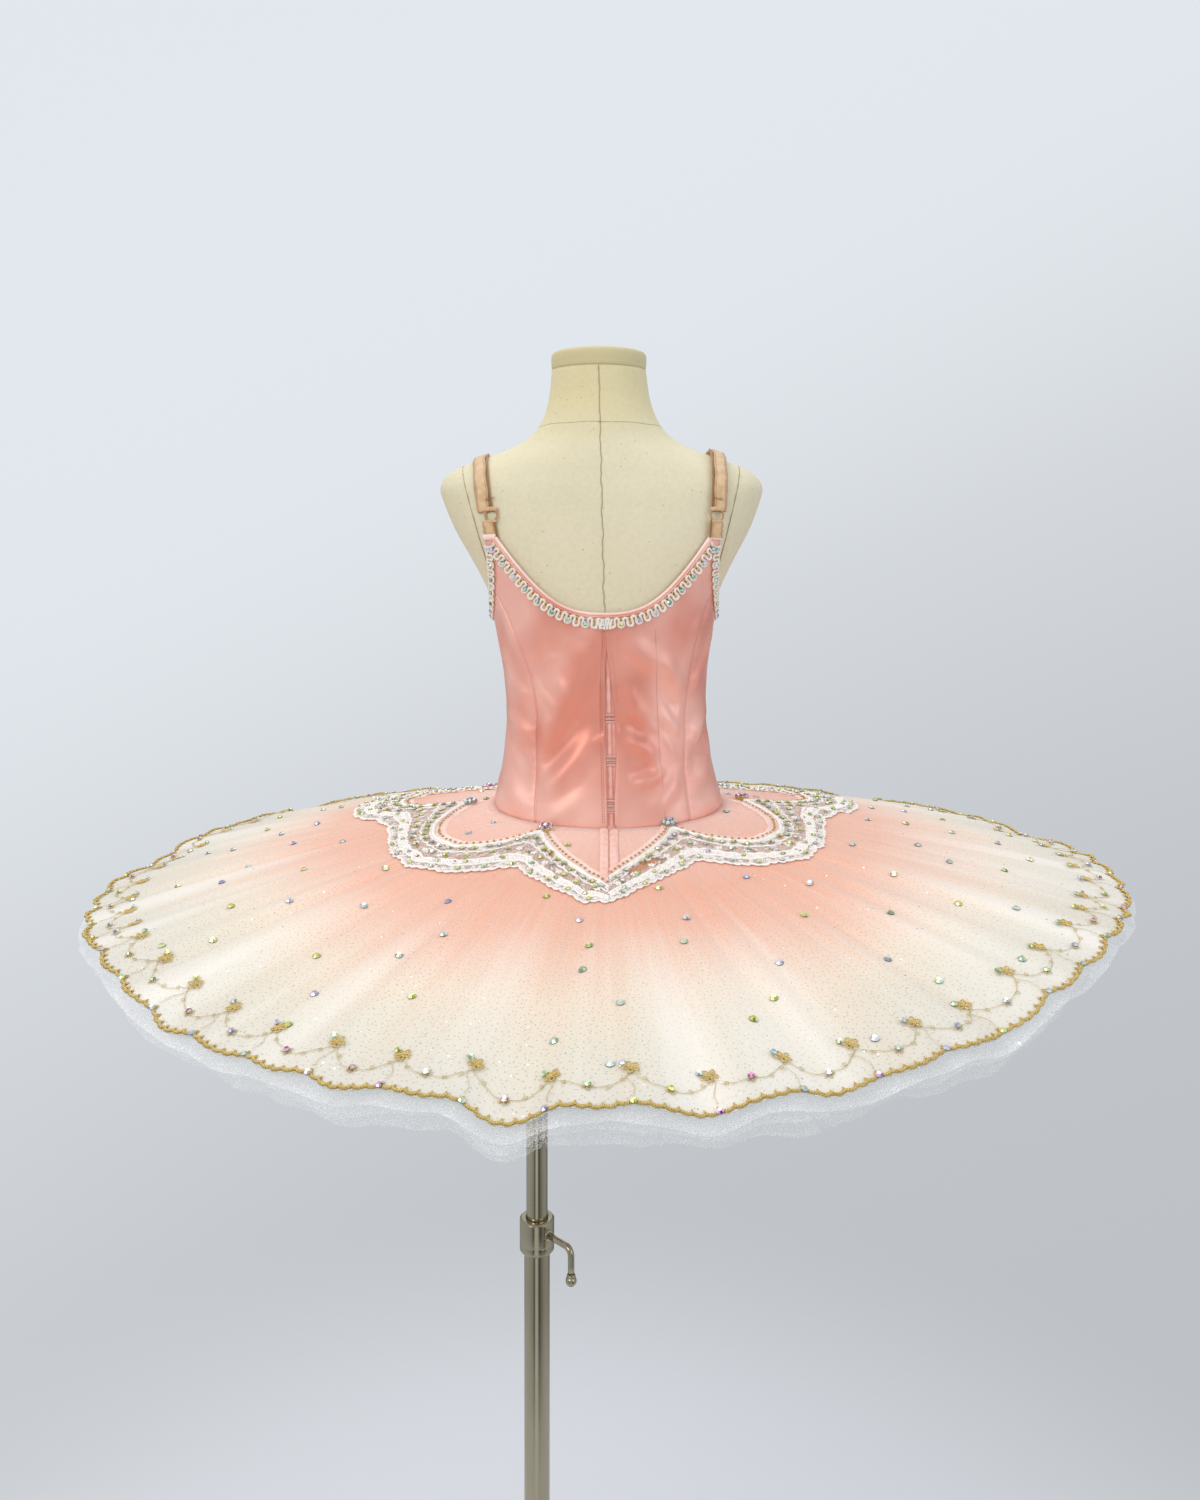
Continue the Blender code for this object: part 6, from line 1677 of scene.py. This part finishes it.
def make_tube(name, node, body, inner, outer, low, high, corner):
    """One of the stand's two tubes, by its inner and outer radius and its lower and upper end."""
    tube = Pile()
    lathe(tube, rounded([(inner, low), (outer, low), (outer, high), (inner, high), (inner, low)], corner), 96)
    tube.make(name, CHROME, "chrome", [node], body)


def make_clamp():
    """The collar on the lower tube, and the bent lever of its screw."""
    collar, lever = Pile(), Pile()
    lathe(collar, rounded([(0.0123, 0.607), (0.01475, 0.607), (0.01625, 0.6085), (0.01625, 0.6145),
                           (0.01595, 0.6150), (0.01625, 0.6155), (0.01625, 0.6365), (0.01475, 0.6380),
                           (0.0104, 0.6380), (0.0104, 0.6342), (0.0123, 0.6342), (0.0123, 0.607)],
                          0.0003, 3), 120)
    outward, down = np.array([*sin_cos(135.0)[::-1], 0.0]), np.array([0.0, 0.0, -1.0])
    sideways = np.cross(outward, down)
    origin = np.array([0.0, 0.0, 0.6265])
    along_rod(collar, [origin + outward * r for r in (0.0161, 0.0170, 0.0173)], sideways,
              [0.0052, 0.0052, 0.0049], sides=24)
    collar.make("clamp_ring", CHROME, "chrome", ["clamp_collar"], "stand")

    bend, corner = 0.04655, 0.007
    path = [origin + outward * 0.0165, origin + outward * 0.0280]
    path += [origin + outward * (bend - corner + corner * math.sin(t)) + down * corner * (1 - math.cos(t))
             for t in np.radians(np.linspace(0, 90, 12))]
    path += [origin + outward * bend + down * 0.016, origin + outward * bend + down * 0.0262]
    along_rod(lever, path, sideways, 0.0030, sides=20)
    tip = origin + outward * bend + down * 0.029
    lever.place(ball_shape(28, 14), tip, outward, -down, 0.0051)
    along_rod(lever, [tip - down * 0.0058, tip - down * 0.0040], sideways, [0.0036, 0.0042], sides=20)
    lever.make("clamp_screw_lever", CHROME, "chrome", ["clamp_lever"], "screw")


def make_flange():
    """The plate under the form that holds the upper tube, with its three screws."""
    flange = Pile()
    lathe(flange, rounded([(0.0005, 0.9346), (0.0240, 0.9346), (0.0240, 0.9306), (0.0158, 0.9306),
                           (0.0145, 0.9290), (0.0145, 0.9066), (0.0104, 0.9066), (0.0104, 0.9306),
                           (0.0005, 0.9306), (0.0005, 0.9346)], 0.0005, 3), 96)
    for degrees in (30, 150, 270):
        s, c = sin_cos(degrees)
        flange.place(ball_shape(14, 6, 0.45), np.array([0.0195 * c, 0.0195 * s, 0.9304]), [1.0, 0.0, 0.0],
                     [0.0, 0.0, -1.0], 0.0028)
    flange.make("form_flange", CHROME, "chrome", ["form_socket"])


def make_stand():
    make_foot()
    make_tube("lower_tube", "stand_tube", "stand", 0.01022, 0.0120, 0.0044, 0.6337, 0.0004)
    make_clamp()
    make_tube("upper_tube", "mast_tube", "mast", 0.0085, 0.0100, 0.30, 0.9302, 0.0003)
    make_flange()


# ---------------------------------------------------------------- floor, light and camera
def area_light(name, at, aim, size, power, tint):
    data = bpy.data.lights.new(name, "AREA")
    data.shape, data.size, data.energy, data.color = "DISK", size, power, colour(tint)[:3]
    lamp = bpy.data.objects.new(name, data)
    bpy.context.scene.collection.objects.link(lamp)
    lamp.location = at
    lamp.rotation_euler = (Vector(aim) - Vector(at)).to_track_quat("-Z", "Y").to_euler()
    lamp.visible_camera = False


def make_world():
    """A wall for the camera with painted shade, darker lower down and on the -x side, soft light from above,
    and a studio of strips for shiny metal.
    """
    world = bpy.data.worlds.new("studio")
    bpy.context.scene.world = world
    world.use_nodes = True
    world.node_tree.nodes.clear()
    w = Nodes(world.node_tree)
    rays, seen = w.node("LightPath").outputs, w.node("TexCoord").outputs["Generated"]

    def sky(strength, direction, *stops, blend="LINEAR"):
        along = w.node("VectorMath", {0: seen, 1: direction}, operation="DOT_PRODUCT").outputs["Value"]
        return w.node("Background", {0: w.ramp(w.times(along, 0.5, 0.5), *stops, blend=blend),
                                     1: strength}).outputs[0]

    def choose(ray, otherwise, chosen):
        return w.node("MixShader", {0: rays[ray], 1: otherwise, 2: chosen}).outputs[0]

    # The wall seen by the camera is darker lower down and on the -x side: painted shade on the backdrop.
    wall = sky(1.0, (0.42, 0.0, 0.91), (0.27, "bcc0c4"), (0.45, "d6dadf"), (0.56, "e4e9ef"), (0.75, "e2e7ee"),
               blend="B_SPLINE")
    soft = sky(0.75, (0.0, 0.0, 1.0), (0.0, "c9ced6"), (0.5, "e6eaf0"), (1.0, "ffffff"))
    shiny = sky(0.80, (1.0, 0.0, 0.0), (0.0, "d6dae2"), (0.24, "8a8d90"), (0.34, "45474a"), (0.44, "f4f5f6"),
                (0.57, "ffffff"), (0.64, "3c3e40"), (0.74, "b9bbbe"), (1.0, "dfe3ea"))
    w.node("OutputWorld", {0: choose("Is Camera Ray", choose("Is Glossy Ray", soft, shiny), wall)})


def floor_material():
    """Pale at the foot of the stand, and fading into the wall further out."""
    m = Material("pale_floor", "dfe2e8", 0.85)
    away = m.node("VectorMath", {0: m.node("TexCoord").outputs["Object"]},
                  operation="LENGTH").outputs["Value"]
    m.link(m.node("MapRange", {"Value": away, "From Min": 0.35, "From Max": 1.25, "To Min": 1.0,
                               "To Max": 0.0},
                  interpolation_type="SMOOTHSTEP").outputs["Result"], "Alpha")
    return m.mat


def make_studio():
    turn, low = circle(96), np.full(96, -0.0004)
    verts = np.vstack([[[0.0, 0.0, low[0]]], np.stack([1.3 * np.cos(turn), 1.3 * np.sin(turn), low], -1)])
    k = np.arange(96)
    mesh = raw_mesh("floor", verts, [np.stack([0 * k, k + 1, (k + 1) % 96 + 1], -1)])
    mesh.materials.append(floor_material())
    floor = bpy.data.objects.new("floor", mesh)
    bpy.context.scene.collection.objects.link(floor)
    area_light("key", (1.5, 2.0, 2.5), (-0.05, 0.0, 1.05), 1.7, 26.0, "fff6ee")
    area_light("fill", (-1.9, 1.6, 1.9), (-0.05, 0.0, 1.05), 2.0, 12.0, "eef3ff")
    area_light("top", (0.1, -0.6, 2.9), (-0.05, 0.0, 1.0), 1.8, 14.0, "ffffff")
    make_world()
    data = bpy.data.cameras.new("camera")
    data.lens, data.sensor_width, data.sensor_fit, data.shift_y = 28.8, 36.0, "AUTO", -205.0 / 1500.0
    camera = bpy.data.objects.new("camera", data)
    bpy.context.scene.collection.objects.link(camera)
    camera.location = (-0.0593, 1.13, 1.27)
    camera.rotation_euler = (math.radians(90.0), 0.0, math.radians(180.0))
    bpy.context.scene.camera = camera
    bpy.context.scene.view_settings.view_transform = "Standard"


for make in (make_form_cover, make_form_seams, make_neck_cap, make_frayed_thread, make_bodice, make_closure,
             make_trims, make_straps, make_overlay, make_nets, make_plackets, make_lace_gap, make_lace,
             make_lace_stones, make_rim, make_skirt_stones, make_brief, make_stand, make_studio):
    make()
